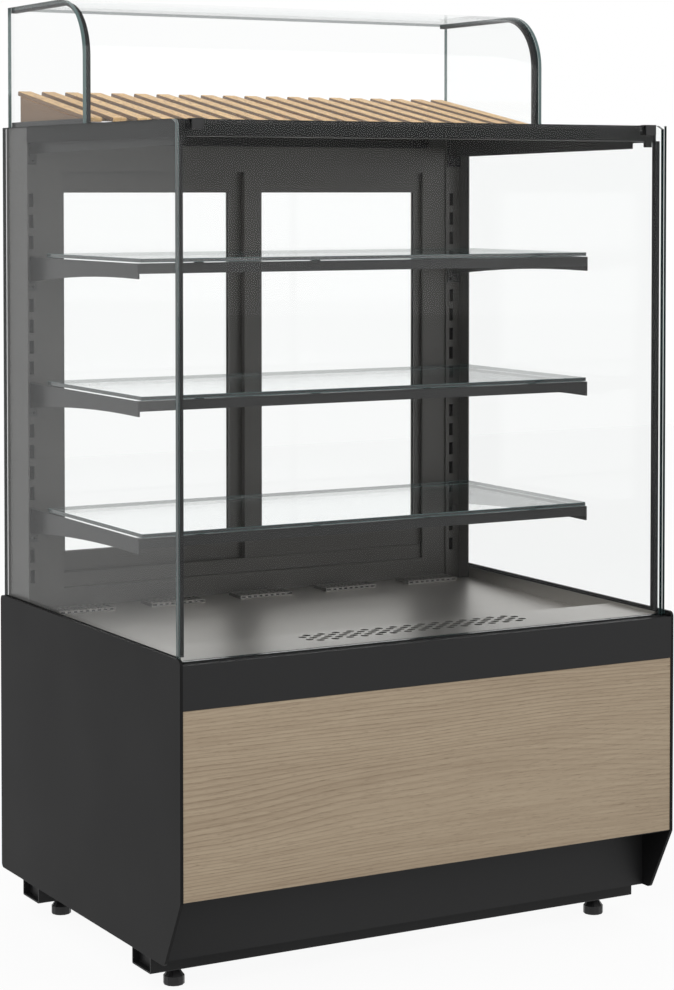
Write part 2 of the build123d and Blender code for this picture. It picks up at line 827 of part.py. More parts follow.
with BuildPart() as canopy_arms:
    arm_front = front_y + beam_front + beam_depth
    for side in (-1, 1):
        with BuildSketch(side_plane(-arm_outer if side < 0 else arm_outer - arm_thickness)):
            with BuildLine():
                Polyline((arm_front, roof_bottom), (arm_front, roof_bottom - arm_front_height),
                         (plate_y - plate_thickness, roof_bottom - arm_rear_height),
                         (plate_y - plate_thickness, roof_bottom), close=True)
            make_face()
        extrude(amount=arm_thickness)
        hook_plate(side, slot_z(arm_slots[0]) - slot_height / 2, roof_bottom, arm_slots)
save(canopy_arms, "canopy_arms")

lamp_y = front_y + lamp_setback
with BuildPart() as led_lamp:
    with BuildSketch(side_plane(-lamp_length / 2)):
        with Locations((lamp_y, roof_bottom - lamp_height / 2)):
            Rectangle(lamp_depth, lamp_height)
    extrude(amount=lamp_length)
    chamfer(led_lamp.edges().filter_by(Axis.X).group_by(Axis.Z)[0], length=lamp_chamfer)
save(led_lamp, "led_lamp")

# Shelves: a pane on pads over a frame, whose end arms hook into the posts
rail_half = arm_outer - arm_thickness
rail_y = front_y + shelf_rail_front
shelf_half = half_width - shelf_glass_inset
arm_rear = plate_y - plate_thickness
lug_y = front_y + lug_setback
for number, upper_slot in enumerate(reversed(shelf_slots), start=1):
    bracket_top = slot_z(upper_slot) + bracket_top_rise
    with BuildPart() as shelf_frame:
        for side in (-1, 1):
            with BuildSketch(side_plane(-arm_outer if side < 0 else rail_half)):
                with BuildLine():
                    arm_end = (arm_rear, bracket_top - bracket_rear_height)
                    arm_front = (rail_y, bracket_top - bracket_front_height)
                    arm_middle = ((rail_y + plate_y) / 2 - slot_pitch, bracket_top - bracket_middle_height)
                    Polyline(arm_end, (arm_rear, bracket_top), (rail_y, bracket_top), arm_front)
                    ThreePointArc(arm_front, arm_middle, arm_end)
                make_face()
            extrude(amount=arm_thickness)
            block(side * rail_half, side * (rail_half - lug_width), lug_y, lug_y + lug_depth,
                  bracket_top - lug_thickness, bracket_top)
            plate_bottom = slot_z(upper_slot - 1) - slot_height / 2
            hook_plate(side, plate_bottom, bracket_top, (upper_slot, upper_slot - 1))
        with BuildSketch(side_plane(-rail_half)):
            with BuildLine():
                rail_rear = rail_y + shelf_rail_size
                rail_foot = bracket_top - shelf_rail_size
                Polyline((rail_rear, bracket_top), (rail_y, bracket_top), (rail_y, rail_foot),
                         (rail_rear, rail_foot))
                offset(amount=shelf_rail_wall, side=Side.LEFT)
            make_face()
        extrude(amount=2 * rail_half)
    save(shelf_frame, f"shelf_frame_{number}")
    with BuildPart() as shelf_glass:
        block(-shelf_half, shelf_half, front_y + shelf_front, front_y + shelf_rear,
              bracket_top + pad_thickness, bracket_top + pad_thickness + glass)
        chamfer(shelf_glass.edges().filter_by(Axis.Z), length=glass_corner)
    save(shelf_glass, f"shelf_glass_{number}")

with BuildPart() as shelf_pads:
    for upper_slot in shelf_slots:
        with BuildSketch(level(slot_z(upper_slot) + bracket_top_rise)):
            with Locations((0, rail_y + shelf_rail_size / 2)):
                with GridLocations(shelf_half / 2, 1, 4, 1):
                    Rectangle(pad_size, pad_size)
            with Locations((0, lug_y + lug_depth / 2)):
                with GridLocations(2 * rail_half - lug_width, 1, 2, 1):
                    Rectangle(pad_size, pad_size)
        extrude(amount=pad_thickness)
save(shelf_pads, "shelf_pads")

# Dome: two side glasses, a bent glass between them and bonded edge trims
with BuildPart() as dome_side_glasses:
    for side in (-1, 1):
        with BuildSketch(side_plane(-dome_outer if side < 0 else dome_inner)) as dome_outline:
            with BuildLine():
                Polyline((front_y + dome_front, chamber_top), (front_y + dome_front, dome_top),
                         (front_y + dome_rear, dome_top), (front_y + dome_rear, chamber_top),
                         close=True)
            make_face()
            fillet(dome_outline.vertices().group_by(Axis.X)[0].sort_by(Axis.Y)[-1], dome_bend)
        extrude(amount=dome_glass)
save(dome_side_glasses, "dome_side_glasses")

bent_half = dome_inner - dome_gap
with BuildPart() as dome_bent_glass:
    with BuildSketch(side_plane(-bent_half)):
        with BuildLine():
            FilletPolyline((front_y + dome_rear, dome_top), (front_y + dome_front, dome_top),
                           (front_y + dome_front, chamber_top), radius=dome_bend)
            offset(amount=bent_glass, side=Side.LEFT)
        make_face()
    extrude(amount=2 * bent_half)
save(dome_bent_glass, "dome_bent_glass")

with BuildPart() as dome_trims:
    for side in (-1, 1):
        with BuildSketch(side_plane(-bent_half if side < 0 else bent_half - trim_width)):
            with BuildLine():
                FilletPolyline((front_y + dome_rear, dome_top - bent_glass),
                               (front_y + dome_front + bent_glass, dome_top - bent_glass),
                               (front_y + dome_front + bent_glass, chamber_top),
                               radius=dome_bend - bent_glass)
                offset(amount=trim_thickness, side=Side.LEFT)
            make_face()
        extrude(amount=trim_width)
save(dome_trims, "dome_trims")

with BuildPart() as dome_base:
    block(-bent_half, bent_half, front_y + dome_front + bent_glass + trim_thickness,
          front_y + dome_rear, chamber_top, base_top)
    fillet(dome_base.edges().filter_by(Axis.X).group_by(Axis.Z)[-1], sheet)
save(dome_base, "dome_base")

# Bread rack: slats sloping to the front on a frame of cheeks and battens
rack_length = rack_rear - rack_front
slat_angle = math.degrees(math.atan2(rack_rear_rise - rack_front_rise, rack_length))
slat_origin = (0, front_y + rack_front, base_top + rack_front_rise)
with BuildPart() as rack_slats:
    slat_direction = (0, math.cos(math.radians(slat_angle)), math.sin(math.radians(slat_angle)))
    slat_plane = Plane(origin=slat_origin, x_dir=(1, 0, 0), z_dir=slat_direction)
    with BuildSketch(slat_plane) as slat_section:
        with Locations((0, -slat_thickness / 2)):
            with GridLocations(slat_pitch, 1, slat_count, 1):
                Rectangle(slat_width, slat_thickness)
        chamfer(slat_section.vertices(), length=slat_corner)
    extrude(amount=rack_length / math.cos(math.radians(slat_angle)))
save(rack_slats, "rack_slats")

rack_half = (slat_count - 1) / 2 * slat_pitch + slat_width / 2 - cheek_thickness / 2
cheek_front = rack_front + batten_inset
cheek_rear = rack_rear - batten_inset / 4


def under_slats(setback):
    # a point of the underside of the slats, at a distance behind the front plane
    rise = (setback - rack_front) / rack_length * (rack_rear_rise - rack_front_rise)
    return (front_y + setback, base_top + rack_front_rise + rise)


with BuildPart() as rack_frame:
    for centre_x in (-rack_half, 0, rack_half):
        with BuildSketch(side_plane(centre_x - cheek_thickness / 2)):
            with BuildLine():
                Polyline((front_y + cheek_front, base_top), under_slats(cheek_front),
                         under_slats(cheek_rear), (front_y + cheek_rear, base_top), close=True)
            make_face()
        extrude(amount=cheek_thickness)
    for batten_rear in (rack_front + batten_inset + 2 * batten_depth, rack_rear - batten_inset):
        with BuildSketch(side_plane(-rack_half)):
            with BuildLine():
                near = under_slats(batten_rear - batten_depth)
                far = under_slats(batten_rear)
                Polyline(near, far, (far[0], far[1] - batten_thickness),
                         (near[0], near[1] - batten_thickness), close=True)
            make_face()
        extrude(amount=2 * rack_half)
save(rack_frame, "rack_frame")


def fan(centre, radius):
    # a hub with pitched blades, turning about an axis along Y
    with BuildSketch(front_plane(centre.Y - fan_hub_depth / 2)) as hub:
        with Locations((centre.X, centre.Z)):
            RegularPolygon(fan_hub_radius, casing_sides)
            Circle(shaft_radius + pin_clearance, mode=Mode.SUBTRACT)
    extrude(hub.sketch, amount=-fan_hub_depth)
    sections = ((fan_hub_radius - blade_sink, blade_root_chord * fan_hub_radius),
                (radius, blade_tip_chord * radius))
    for index in range(fan_blades):
        angle = 2 * math.pi * index / fan_blades
        outward = Vector(math.cos(angle), 0, math.sin(angle))
        ends = []
        for reach, chord in sections:
            with BuildSketch(Plane(origin=centre + outward * reach, x_dir=(0, 1, 0), z_dir=outward)) as end:
                with Locations(Rotation(0, 0, blade_pitch)):
                    Rectangle(blade_thickness, chord)
            ends.append(end.sketch)
        loft(ends, ruled=True)


def disc(centre, y, radius, length):
    # a round bar along Y, starting at y
    with BuildSketch(front_plane(y)) as end:
        with Locations((centre.X, centre.Z)):
            RegularPolygon(radius, casing_sides)
    extrude(end.sketch, amount=-length)


# Condensing unit: compressor, finned coil, shroud with motor, and the fan
compressor_y = front_y + compressor_setback
with BuildPart() as compressor:
    with BuildSketch(level(tray_top)):
        with Locations((compressor_x, compressor_y)):
            RectangleRounded(compressor_foot_x, compressor_foot_y, compressor_foot_corner)
    extrude(amount=2 * sheet)
    with BuildSketch(level(tray_top)):
        with Locations((compressor_x, compressor_y)):
            RegularPolygon(compressor_radius, casing_sides)
    extrude(amount=compressor_height)
    chamfer(compressor.faces().sort_by(Axis.Z)[-1].edges(), length=compressor_shoulder)
save(compressor, "compressor")

coil_rear = service_rear - coil_rear_gap
coil_front = coil_rear - coil_depth
coil_top = tray_top + coil_height
with BuildPart() as condenser_coil:
    block(coil_x - coil_width / 2, coil_x + coil_width / 2, coil_front, coil_rear, tray_top, coil_top)
    with BuildSketch(front_plane(coil_rear - fin_depth)):
        with Locations((coil_x, tray_top + coil_height / 2)):
            with GridLocations(coil_width / fin_count, 1, fin_count - 1, 1):
                Rectangle(fin_gap, coil_height - 4 * fin_gap)
    extrude(amount=-fin_depth, mode=Mode.SUBTRACT)
save(condenser_coil, "condenser_coil")

fan_centre = Vector(coil_x, coil_front - shroud_depth / 2, tray_top + coil_height / 2)
fan_opening = condenser_fan_radius + fan_clearance
motor_rear = fan_centre.Y - fan_hub_depth / 2 - fan_clearance
with BuildPart() as fan_shroud:
    with BuildSketch(front_plane(coil_front - shroud_wall)):
        with Locations((coil_x, fan_centre.Z)):
            Rectangle(coil_width, coil_height)
            RegularPolygon(fan_opening, casing_sides, mode=Mode.SUBTRACT)
    extrude(amount=-shroud_wall)
    with BuildSketch(front_plane(coil_front - shroud_depth)):
        with Locations((coil_x, fan_centre.Z)):
            RegularPolygon(fan_opening + shroud_wall, casing_sides)
            RegularPolygon(fan_opening, casing_sides, mode=Mode.SUBTRACT)
    extrude(amount=-shroud_depth)
    with BuildSketch(front_plane(coil_front - shroud_depth - shroud_wall)):
        with Locations((coil_x, fan_centre.Z)):
            Rectangle(2 * (fan_opening + shroud_wall), bar_width)
            Rectangle(bar_width, 2 * (fan_opening + shroud_wall))
    extrude(amount=-shroud_wall)
    disc(fan_centre, motor_rear - motor_depth, motor_radius, motor_depth)
    disc(fan_centre, motor_rear - shaft_sink, shaft_radius, fan_hub_depth)
save(fan_shroud, "fan_shroud")

with BuildPart() as condenser_fan:
    fan(fan_centre, condenser_fan_radius)
save(condenser_fan, "condenser_fan")

# Evaporator in the tub: finned coil, and behind it a plate that carries the fan and its motor
well_floor = tub_top - tub_height + tub_floor
evaporator_y = front_y + strip_rear
cold_y = evaporator_y + evaporator_depth + evaporator_fan_gap
cold_centre = Vector(0, cold_y, well_floor + evaporator_fan_height)
cold_opening = evaporator_fan_radius + fan_clearance / 2
cold_motor = cold_y + fan_hub_depth / 2 + fan_clearance
cold_bar = 2 * cold_opening + bar_width
with BuildPart() as evaporator_coil:
    block(-evaporator_width / 2, evaporator_width / 2, evaporator_y, evaporator_y + evaporator_depth,
          well_floor, well_floor + evaporator_height)
    with BuildSketch(level(well_floor + evaporator_height - fin_depth)):
        with Locations((0, evaporator_y + evaporator_depth / 2)):
            with GridLocations(evaporator_width / fin_count, 1, fin_count - 1, 1):
                Rectangle(fin_gap, evaporator_depth)
    extrude(amount=fin_depth, mode=Mode.SUBTRACT)
    with BuildSketch(front_plane(cold_y - shroud_wall / 2)):
        with Locations((0, well_floor + fan_plate_height / 2)):
            Rectangle(evaporator_width, fan_plate_height)
        with Locations((0, cold_centre.Z)):
            RegularPolygon(cold_opening, casing_sides, mode=Mode.SUBTRACT)
    extrude(amount=-shroud_wall)
    for side in (-1, 1):
        block(side * (cold_bar - bar_width) / 2, side * cold_bar / 2, cold_y, cold_motor + shroud_wall,
              cold_centre.Z - bar_width / 2, cold_centre.Z + bar_width / 2)
    block(-cold_bar / 2, cold_bar / 2, cold_motor, cold_motor + shroud_wall,
          cold_centre.Z - bar_width / 2, cold_centre.Z + bar_width / 2)
    disc(cold_centre, cold_motor, fan_hub_radius, motor_depth)
    disc(cold_centre, cold_y, shaft_radius, cold_motor - cold_y)
save(evaporator_coil, "evaporator_coil")

with BuildPart() as evaporator_fan:
    fan(cold_centre, evaporator_fan_radius)
save(evaporator_fan, "evaporator_fan")

# Refrigerant lines: one over to the condenser coil, one up into the tub
with BuildPart() as refrigerant_lines:
    pot_top = tray_top + compressor_height
    rise_z = pot_top + pipe_rise
    lower_z = pot_top + pipe_rise / 2
    coil_y = coil_rear - coil_depth / 2
    suction_x = compressor_x + suction_offset
    discharge = ((compressor_x, compressor_y, pot_top), (compressor_x, compressor_y, rise_z),
                 (coil_x, compressor_y, rise_z), (coil_x, coil_y, rise_z), (coil_x, coil_y, coil_top))
    suction = ((suction_x, compressor_y, pot_top), (suction_x, compressor_y, lower_z),
               (suction_x, pipe_y, lower_z), (pipe_x, pipe_y, lower_z),
               (pipe_x, pipe_y, well_floor + pipe_rise))
    for run in (discharge, suction):
        with BuildLine() as route:
            FilletPolyline(*run, radius=pipe_bend)
        with BuildSketch(Plane(origin=route.wire() @ 0, z_dir=route.wire() % 0)):
            RegularPolygon(pipe_radius, pipe_sides)
        sweep(path=route.wire())
save(refrigerant_lines, "refrigerant_lines")

# Rear service panel with pressed louvres, screwed to the lips of the posts
service_half = post_half - panel_gap
service_bottom = tray_top + sheet
service_top = control_bottom - sheet
panel_y = service_rear - sheet
with BuildPart() as rear_service_panel:
    block(-service_half, service_half, panel_y, service_rear, service_bottom, service_top)
    with BuildSketch(side_plane(-louvre_width / 2)):
        with BuildLine():
            Polyline((service_rear, louvre_height), (service_rear + louvre_rise, -louvre_height / 2),
                     (service_rear + louvre_rise - sheet, -louvre_height / 2),
                     (service_rear, louvre_height / 2), close=True)
        make_face()
    hood = extrude(amount=louvre_width, mode=Mode.PRIVATE)
    with BuildSketch(front_plane(panel_y)) as louvre_slots:
        with Locations((0, (service_bottom + service_top) / 2)):
            with GridLocations(louvre_pitch_x, louvre_pitch_z, louvre_columns, louvre_rows) as places:
                Rectangle(louvre_width - 2 * sheet, louvre_height)
    extrude(amount=-sheet, mode=Mode.SUBTRACT)
    for place in places.local_locations:
        add(hood.moved(Location((place.position.X, 0, place.position.Y))))
save(rear_service_panel, "rear_service_panel")

# Control panel above it, with the controller, two switches and the power inlet
control_top = frame_bottom - sheet
control_z = (control_bottom + control_top) / 2
switch_places = [(switch_x + side * rocker_spacing / 2, control_z) for side in (-1, 1)]
rocker_half = rocker_height / 2
bezel_opening = (rocker_width + 2 * rocker_gap, rocker_height + 2 * rocker_gap)
bezel_body = (bezel_opening[0] + 2 * bezel_body_wall, bezel_opening[1] + 2 * bezel_body_wall)
bezel_size = (bezel_body[0] + 2 * bezel_wall, bezel_body[1] + 2 * bezel_wall)
controller_body_size = (controller_width - 2 * bezel_wall, controller_height - 2 * bezel_wall)
inlet_body = (inlet_width - 4 * bezel_wall, inlet_height - bezel_wall)
with BuildPart() as control_panel:
    block(-service_half, service_half, panel_y, service_rear, control_bottom, control_top)
    with BuildSketch(front_plane(panel_y)):
        with Locations(*switch_places):
            Rectangle(*bezel_body)
        with Locations((controller_x, control_z)):
            Rectangle(*controller_body_size)
        with Locations((inlet_x, control_z)):
            Rectangle(*inlet_body)
    extrude(amount=-sheet, mode=Mode.SUBTRACT)
save(control_panel, "control_panel")

with BuildPart() as controller:
    with BuildSketch(front_plane(service_rear)):
        with Locations((controller_x, control_z)):
            RectangleRounded(controller_width, controller_height, bezel_wall)
    extrude(amount=-bezel_rise)
    with BuildSketch(front_plane(service_rear - controller_body)):
        with Locations((controller_x, control_z)):
            Rectangle(*controller_body_size)
    extrude(amount=-controller_body)
    with BuildSketch(front_plane(service_rear + bezel_rise - lens_depth)):
        with Locations((controller_x + lens_offset, control_z)):
            Rectangle(lens_width, lens_height)
    extrude(amount=-lens_depth, mode=Mode.SUBTRACT)
save(controller, "controller")

with BuildPart() as switch_bezels:
    with BuildSketch(front_plane(service_rear)):
        with Locations(*switch_places):
            Rectangle(*bezel_size)
    extrude(amount=-bezel_rise)
    with BuildSketch(front_plane(service_rear - bezel_depth)):
        with Locations(*switch_places):
            Rectangle(*bezel_body)
    extrude(amount=-bezel_depth)
    with BuildSketch(front_plane(service_rear + bezel_rise)):
        with Locations(*switch_places):
            Rectangle(*bezel_opening)
    extrude(amount=bezel_depth + bezel_rise - bezel_body_wall, mode=Mode.SUBTRACT)
    pin_reach = bezel_opening[0] / 2 + pivot_length
    for centre_x, centre_z in switch_places:
        with BuildSketch(side_plane(centre_x - pin_reach)):
            with Locations((service_rear, centre_z)):
                RegularPolygon(pivot_radius + pin_clearance, bore_sides)
        extrude(amount=2 * pin_reach, mode=Mode.SUBTRACT)
save(switch_bezels, "switch_bezels")

# Rockers: a round back, a face with two slopes and pivots in the sides of the bezel
for name, (centre_x, centre_z) in zip(("power_switch", "light_switch"), switch_places):
    with BuildPart() as rocker:
        with BuildSketch(side_plane(centre_x - rocker_width / 2)):
            with Locations(Location((service_rear, centre_z), -rocker_tilt)):
                RegularPolygon(rocker_half, casing_sides)
                Polygon((-rocker_height, rocker_half), (rocker_dish + rocker_rise, rocker_half),
                        (rocker_dish, 0), (rocker_dish + rocker_rise, -rocker_half),
                        (-rocker_height, -rocker_half), align=None, mode=Mode.INTERSECT)
        extrude(amount=rocker_width)
        with BuildSketch(side_plane(centre_x - rocker_width / 2 - pivot_length)):
            with Locations((service_rear, centre_z)):
                Circle(pivot_radius)
        extrude(amount=rocker_width + 2 * pivot_length)
    save(rocker, name)

with BuildPart() as power_inlet:
    with BuildSketch(front_plane(service_rear)):
        with Locations((inlet_x, control_z)):
            RectangleRounded(inlet_width, inlet_height, bezel_wall)
    extrude(amount=-bezel_rise)
    with BuildSketch(front_plane(service_rear - inlet_depth)):
        with Locations((inlet_x, control_z)):
            Rectangle(*inlet_body)
    extrude(amount=-inlet_depth)
    with BuildSketch(front_plane(service_rear + bezel_rise)):
        with Locations((inlet_x, control_z)):
            Rectangle(inlet_body[0] - bezel_wall, inlet_body[1] - bezel_wall)
            with GridLocations(inlet_pin_pitch, 1, 3, 1):
                Rectangle(inlet_pin_width, inlet_pin_height, mode=Mode.SUBTRACT)
    extrude(amount=inlet_depth, mode=Mode.SUBTRACT)
save(power_inlet, "power_inlet")

# Screws of the two rear panels
with BuildPart() as panel_screws:
    screw_x = service_half - lip_width / 2
    screw_levels = (service_bottom + panel_screw_inset, (service_bottom + service_top) / 2,
                    service_top - panel_screw_inset, control_bottom + panel_screw_inset,
                    control_top - panel_screw_inset)
    with BuildSketch(front_plane(service_rear)):
        with Locations(*[(side * screw_x, z) for side in (-1, 1) for z in screw_levels]):
            RegularPolygon(screw_radius, screw_sides)
    extrude(amount=-screw_head)
save(panel_screws, "panel_screws")
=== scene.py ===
import math
import bpy
import bmesh
from mathutils import Matrix, Vector


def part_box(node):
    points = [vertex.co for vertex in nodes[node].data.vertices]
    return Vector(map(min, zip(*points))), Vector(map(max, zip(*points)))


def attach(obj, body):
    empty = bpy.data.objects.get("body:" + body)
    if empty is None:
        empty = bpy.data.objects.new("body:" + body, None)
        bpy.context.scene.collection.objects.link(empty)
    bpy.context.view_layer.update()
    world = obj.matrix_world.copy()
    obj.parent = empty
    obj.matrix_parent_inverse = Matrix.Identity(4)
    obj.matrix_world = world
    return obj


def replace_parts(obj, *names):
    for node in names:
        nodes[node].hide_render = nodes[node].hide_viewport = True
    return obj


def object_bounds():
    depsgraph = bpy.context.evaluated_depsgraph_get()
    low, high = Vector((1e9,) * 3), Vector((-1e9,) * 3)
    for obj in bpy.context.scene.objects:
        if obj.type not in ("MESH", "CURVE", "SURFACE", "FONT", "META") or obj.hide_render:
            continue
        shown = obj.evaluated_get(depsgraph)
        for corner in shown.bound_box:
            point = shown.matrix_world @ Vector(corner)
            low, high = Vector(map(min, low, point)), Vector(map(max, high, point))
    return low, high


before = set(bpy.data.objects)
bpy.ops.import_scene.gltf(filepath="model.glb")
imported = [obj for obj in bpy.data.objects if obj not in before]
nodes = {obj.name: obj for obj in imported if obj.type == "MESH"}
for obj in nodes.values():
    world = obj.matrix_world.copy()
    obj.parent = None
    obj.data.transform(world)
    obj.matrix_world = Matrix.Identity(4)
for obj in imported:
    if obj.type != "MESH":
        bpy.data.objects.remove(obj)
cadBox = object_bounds()
frontFace = cadBox[0][1]
scene = bpy.context.scene
print("frame loaded:", len(nodes), "nodes")


class Wire:  # one output socket; Python's operators add Math nodes to it
    def __init__(self, tree, socket=None):
        self.tree = tree
        self.socket = socket

    def put(self, kind, settings=None, inputs=None, out=0):  # a new node: settings first, then values or links
        node = self.tree.nodes.new(kind)
        for key, value in (settings or {}).items():
            setattr(node, key, value)
        for key, value in (inputs or {}).items():
            if isinstance(value, Wire):
                self.tree.links.new(value.socket, node.inputs[key])
            else:
                node.inputs[key].default_value = value
        return Wire(self.tree, node.outputs[out] if len(node.outputs) else None)

    def beside(self, name):  # another output of the same node
        return Wire(self.tree, self.socket.node.outputs[name])

    def maths(self, operation, *others):
        return self.put("ShaderNodeMath", {"operation": operation}, dict(enumerate((self,) + others)))

    def __add__(self, other):
        return self.maths("ADD", other)

    __radd__ = __add__

    def __mul__(self, other):
        return self.maths("MULTIPLY", other)

    __rmul__ = __mul__

    def __sub__(self, other):
        return self.maths("SUBTRACT", other)

    def __rsub__(self, other):
        return self.put("ShaderNodeMath", {"operation": "SUBTRACT"}, {0: other, 1: self})

    def __truediv__(self, other):
        return self.maths("DIVIDE", other)

    def __pow__(self, other):
        return self.maths("POWER", other)

    def __abs__(self):
        return self.maths("ABSOLUTE")

    def above(self, low, high):  # 0 below low, 1 above high, smooth between
        return self.put("ShaderNodeMapRange", {"interpolation_type": "SMOOTHSTEP"},
                        {"Value": self, "From Min": low, "From Max": high})

    def split(self):  # x, y and z of a vector
        first = self.put("ShaderNodeSeparateXYZ", None, {0: self})
        return [first.beside(index) for index in range(3)]

    def stretched(self, x, y, z, shift=(0, 0, 0)):
        return self.put("ShaderNodeMapping", None, {"Vector": self, "Scale": (x, y, z), "Location": shift})

    def noise(self, scale, detail=3.0, rough=0.5, distort=0.0):
        return self.put("ShaderNodeTexNoise", None, {"Vector": self, "Scale": scale, "Detail": detail,
                                                     "Roughness": rough, "Distortion": distort})

    def blend(self, first, second):  # colours mixed by this wire
        return self.put("ShaderNodeMix", {"data_type": "RGBA"}, {0: self, 6: first, 7: second}, 2)


def rgb(red, green, blue):  # from screen values 0-255 to linear
    def linear(v):
        v = v / 255
        return v / 12.92 if v <= 0.04045 else ((v + 0.055) / 1.055) ** 2.4
    return (linear(red), linear(green), linear(blue), 1.0)


def scaled(tone, factor, lift=0.0):  # the same colour, darker or lighter
    return tuple(min(1.0, c * factor + lift) for c in tone[:3]) + (1.0,)


def startMaterial(name):
    material = bpy.data.materials.new(name)
    material.use_nodes = True
    material.node_tree.nodes.clear()
    return material, Wire(material.node_tree).put("ShaderNodeTexCoord", out="Object")


def endMaterial(material, surface):
    surface.put("ShaderNodeOutputMaterial", None, {"Surface": surface})
    return material


def principled(place, inputs):
    return place.put("ShaderNodeBsdfPrincipled", None, inputs)


def bump(place, height, strength, distance):
    return place.put("ShaderNodeBump", None, {"Height": height, "Strength": strength, "Distance": distance})


paint = {"cloud": 5.0, "dust": 260.0, "dustFrom": 0.62, "dustFull": 0.80, "dustShare": 0.2, "fleck": 0.08,
         "lift": 0.001, "roughSwing": 0.10}


def powderCoat(name, tone, rough, gleam):
    # satin powder coat: a faint cloudiness and a little dust
    s = paint
    material, place = startMaterial(name)
    cloud = place.noise(s["cloud"], 2.0)
    dust = place.noise(s["dust"], 3.0, 0.7).above(s["dustFrom"], s["dustFull"])
    mottle = cloud * (1 - s["dustShare"]) + dust * s["dustShare"]
    return endMaterial(material, principled(place, {
        "Base Color": mottle.blend(scaled(tone, 1 - s["fleck"]), scaled(tone, 1 + s["fleck"], s["lift"])),
        "Roughness": cloud * s["roughSwing"] + (rough - s["roughSwing"] / 2), "Specular IOR Level": gleam}))


profile = {"draw": (40, 900, 900), "cloud": 7.0, "swing": 0.12, "rough": 0.38, "roughSwing": 0.12, "gleam": 0.33}


def anodised(name, tone):
    # extruded profile with fine drawing lines along its length
    s = profile
    material, place = startMaterial(name)
    lines = place.stretched(*s["draw"]).noise(1.0, 2.0)
    mottle = lines * 0.5 + place.noise(s["cloud"], 2.0) * 0.5
    return endMaterial(material, principled(place, {
        "Base Color": mottle.blend(scaled(tone, 1 - s["swing"]), scaled(tone, 1 + s["swing"])),
        "Roughness": lines * s["roughSwing"] + (s["rough"] - s["roughSwing"] / 2),
        "Specular IOR Level": s["gleam"]}))


steel = {"cloud": 3.2, "smear": (3, 9, 3), "smearShift": (0.3, 0.1, 0), "smearSize": 2.0, "swing": 0.05,
         "brushSwing": 0.07, "smearSwing": 0.08}


def brushedSteel(name, tone, rough, along):
    # brushing lines in the roughness, and wiped patches
    s = steel
    material, place = startMaterial(name)
    brush = place.stretched(*along).noise(1.0, 3.0, 0.6)
    smear = place.stretched(*s["smear"], s["smearShift"]).noise(s["smearSize"], 2.0)
    mottle = brush * 0.5 + place.noise(s["cloud"], 3.0, 0.6) * 0.5
    return endMaterial(material, principled(place, {
        "Base Color": mottle.blend(scaled(tone, 1 - s["swing"]), scaled(tone, 1 + s["swing"])), "Metallic": 1.0,
        "Roughness": brush * s["brushSwing"] + smear * s["smearSwing"] + (rough - s["brushSwing"])}))


plastic = {"cloud": 30.0, "dark": 0.85, "light": 1.2, "lift": 0.001, "roughSwing": 0.12, "gleam": 0.36}


def moulded(name, tone, rough, grain=900.0):
    # plastic, rubber or enamel with a fine grain
    s = plastic
    material, place = startMaterial(name)
    cloud = place.noise(s["cloud"], 2.0)
    return endMaterial(material, principled(place, {
        "Base Color": cloud.blend(scaled(tone, s["dark"]), scaled(tone, s["light"], s["lift"])),
        "Roughness": place.noise(grain, 2.0) * s["roughSwing"] + (rough - s["roughSwing"] / 2),
        "Specular IOR Level": s["gleam"]}))


tub = {"outside": (0.62, 0.62, 0.58, 1.0), "insideShade": (0.020, 0.020, 0.021, 1.0), "skin": 0.0008, "full": 0.0004,
       "cloud": 30.0, "rough": 0.6, "roughSwing": 0.1}


def tubSkin(name, s):
    # the tub's pale outer skin; everything within it is near-black as painted shade, so the vents look dark
    material, place = startMaterial(name)
    low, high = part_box("insulated_tub")
    x, y, z = place.split()
    outer = abs(x).above(high[0] - s["skin"], high[0] - s["full"])
    for wall, reach in ((y, high[1]), (y * -1, -low[1]), (z * -1, -low[2])):
        outer = outer.maths("MAXIMUM", wall.above(reach - s["skin"], reach - s["full"]))
    return endMaterial(material, principled(place, {
        "Base Color": outer.blend(s["insideShade"], s["outside"]),
        "Roughness": place.noise(s["cloud"], 2.0) * s["roughSwing"] + s["rough"]}))


oak = {"light": rgb(160, 144, 121), "mid": rgb(141, 124, 102), "line": rgb(112, 94, 73), "pore": rgb(96, 79, 60),
       "lines": 150.0, "bend": 26.0, "stretch": (0.9, 1.0, 4.4), "shift": (3.1, 0.4, 1.7), "wander": (5, 5, 16),
       "wanderBend": 1.3, "late": (0.45, 0.93), "lateEnd": (0.94, 1.0), "lineDepth": 0.34, "lineLeast": 0.08,
       "fine": (7, 7, 240), "fineShare": 0.6, "tone": (1.1, 1, 9), "toneRange": (0.30, 0.70),
       "pores": (55, 400, 1150), "poreRange": (0.60, 0.70), "dashes": (26, 200, 620), "dashRange": (0.56, 0.72),
       "poreDepth": 0.30, "patches": (1.6, 1, 4), "patchShift": (7, 2, 5), "patchRange": (0.34, 0.62),
       "rough": 0.52, "lateRough": 0.08, "poreRough": 0.1, "relief": 0.12, "reliefDepth": 0.0003}


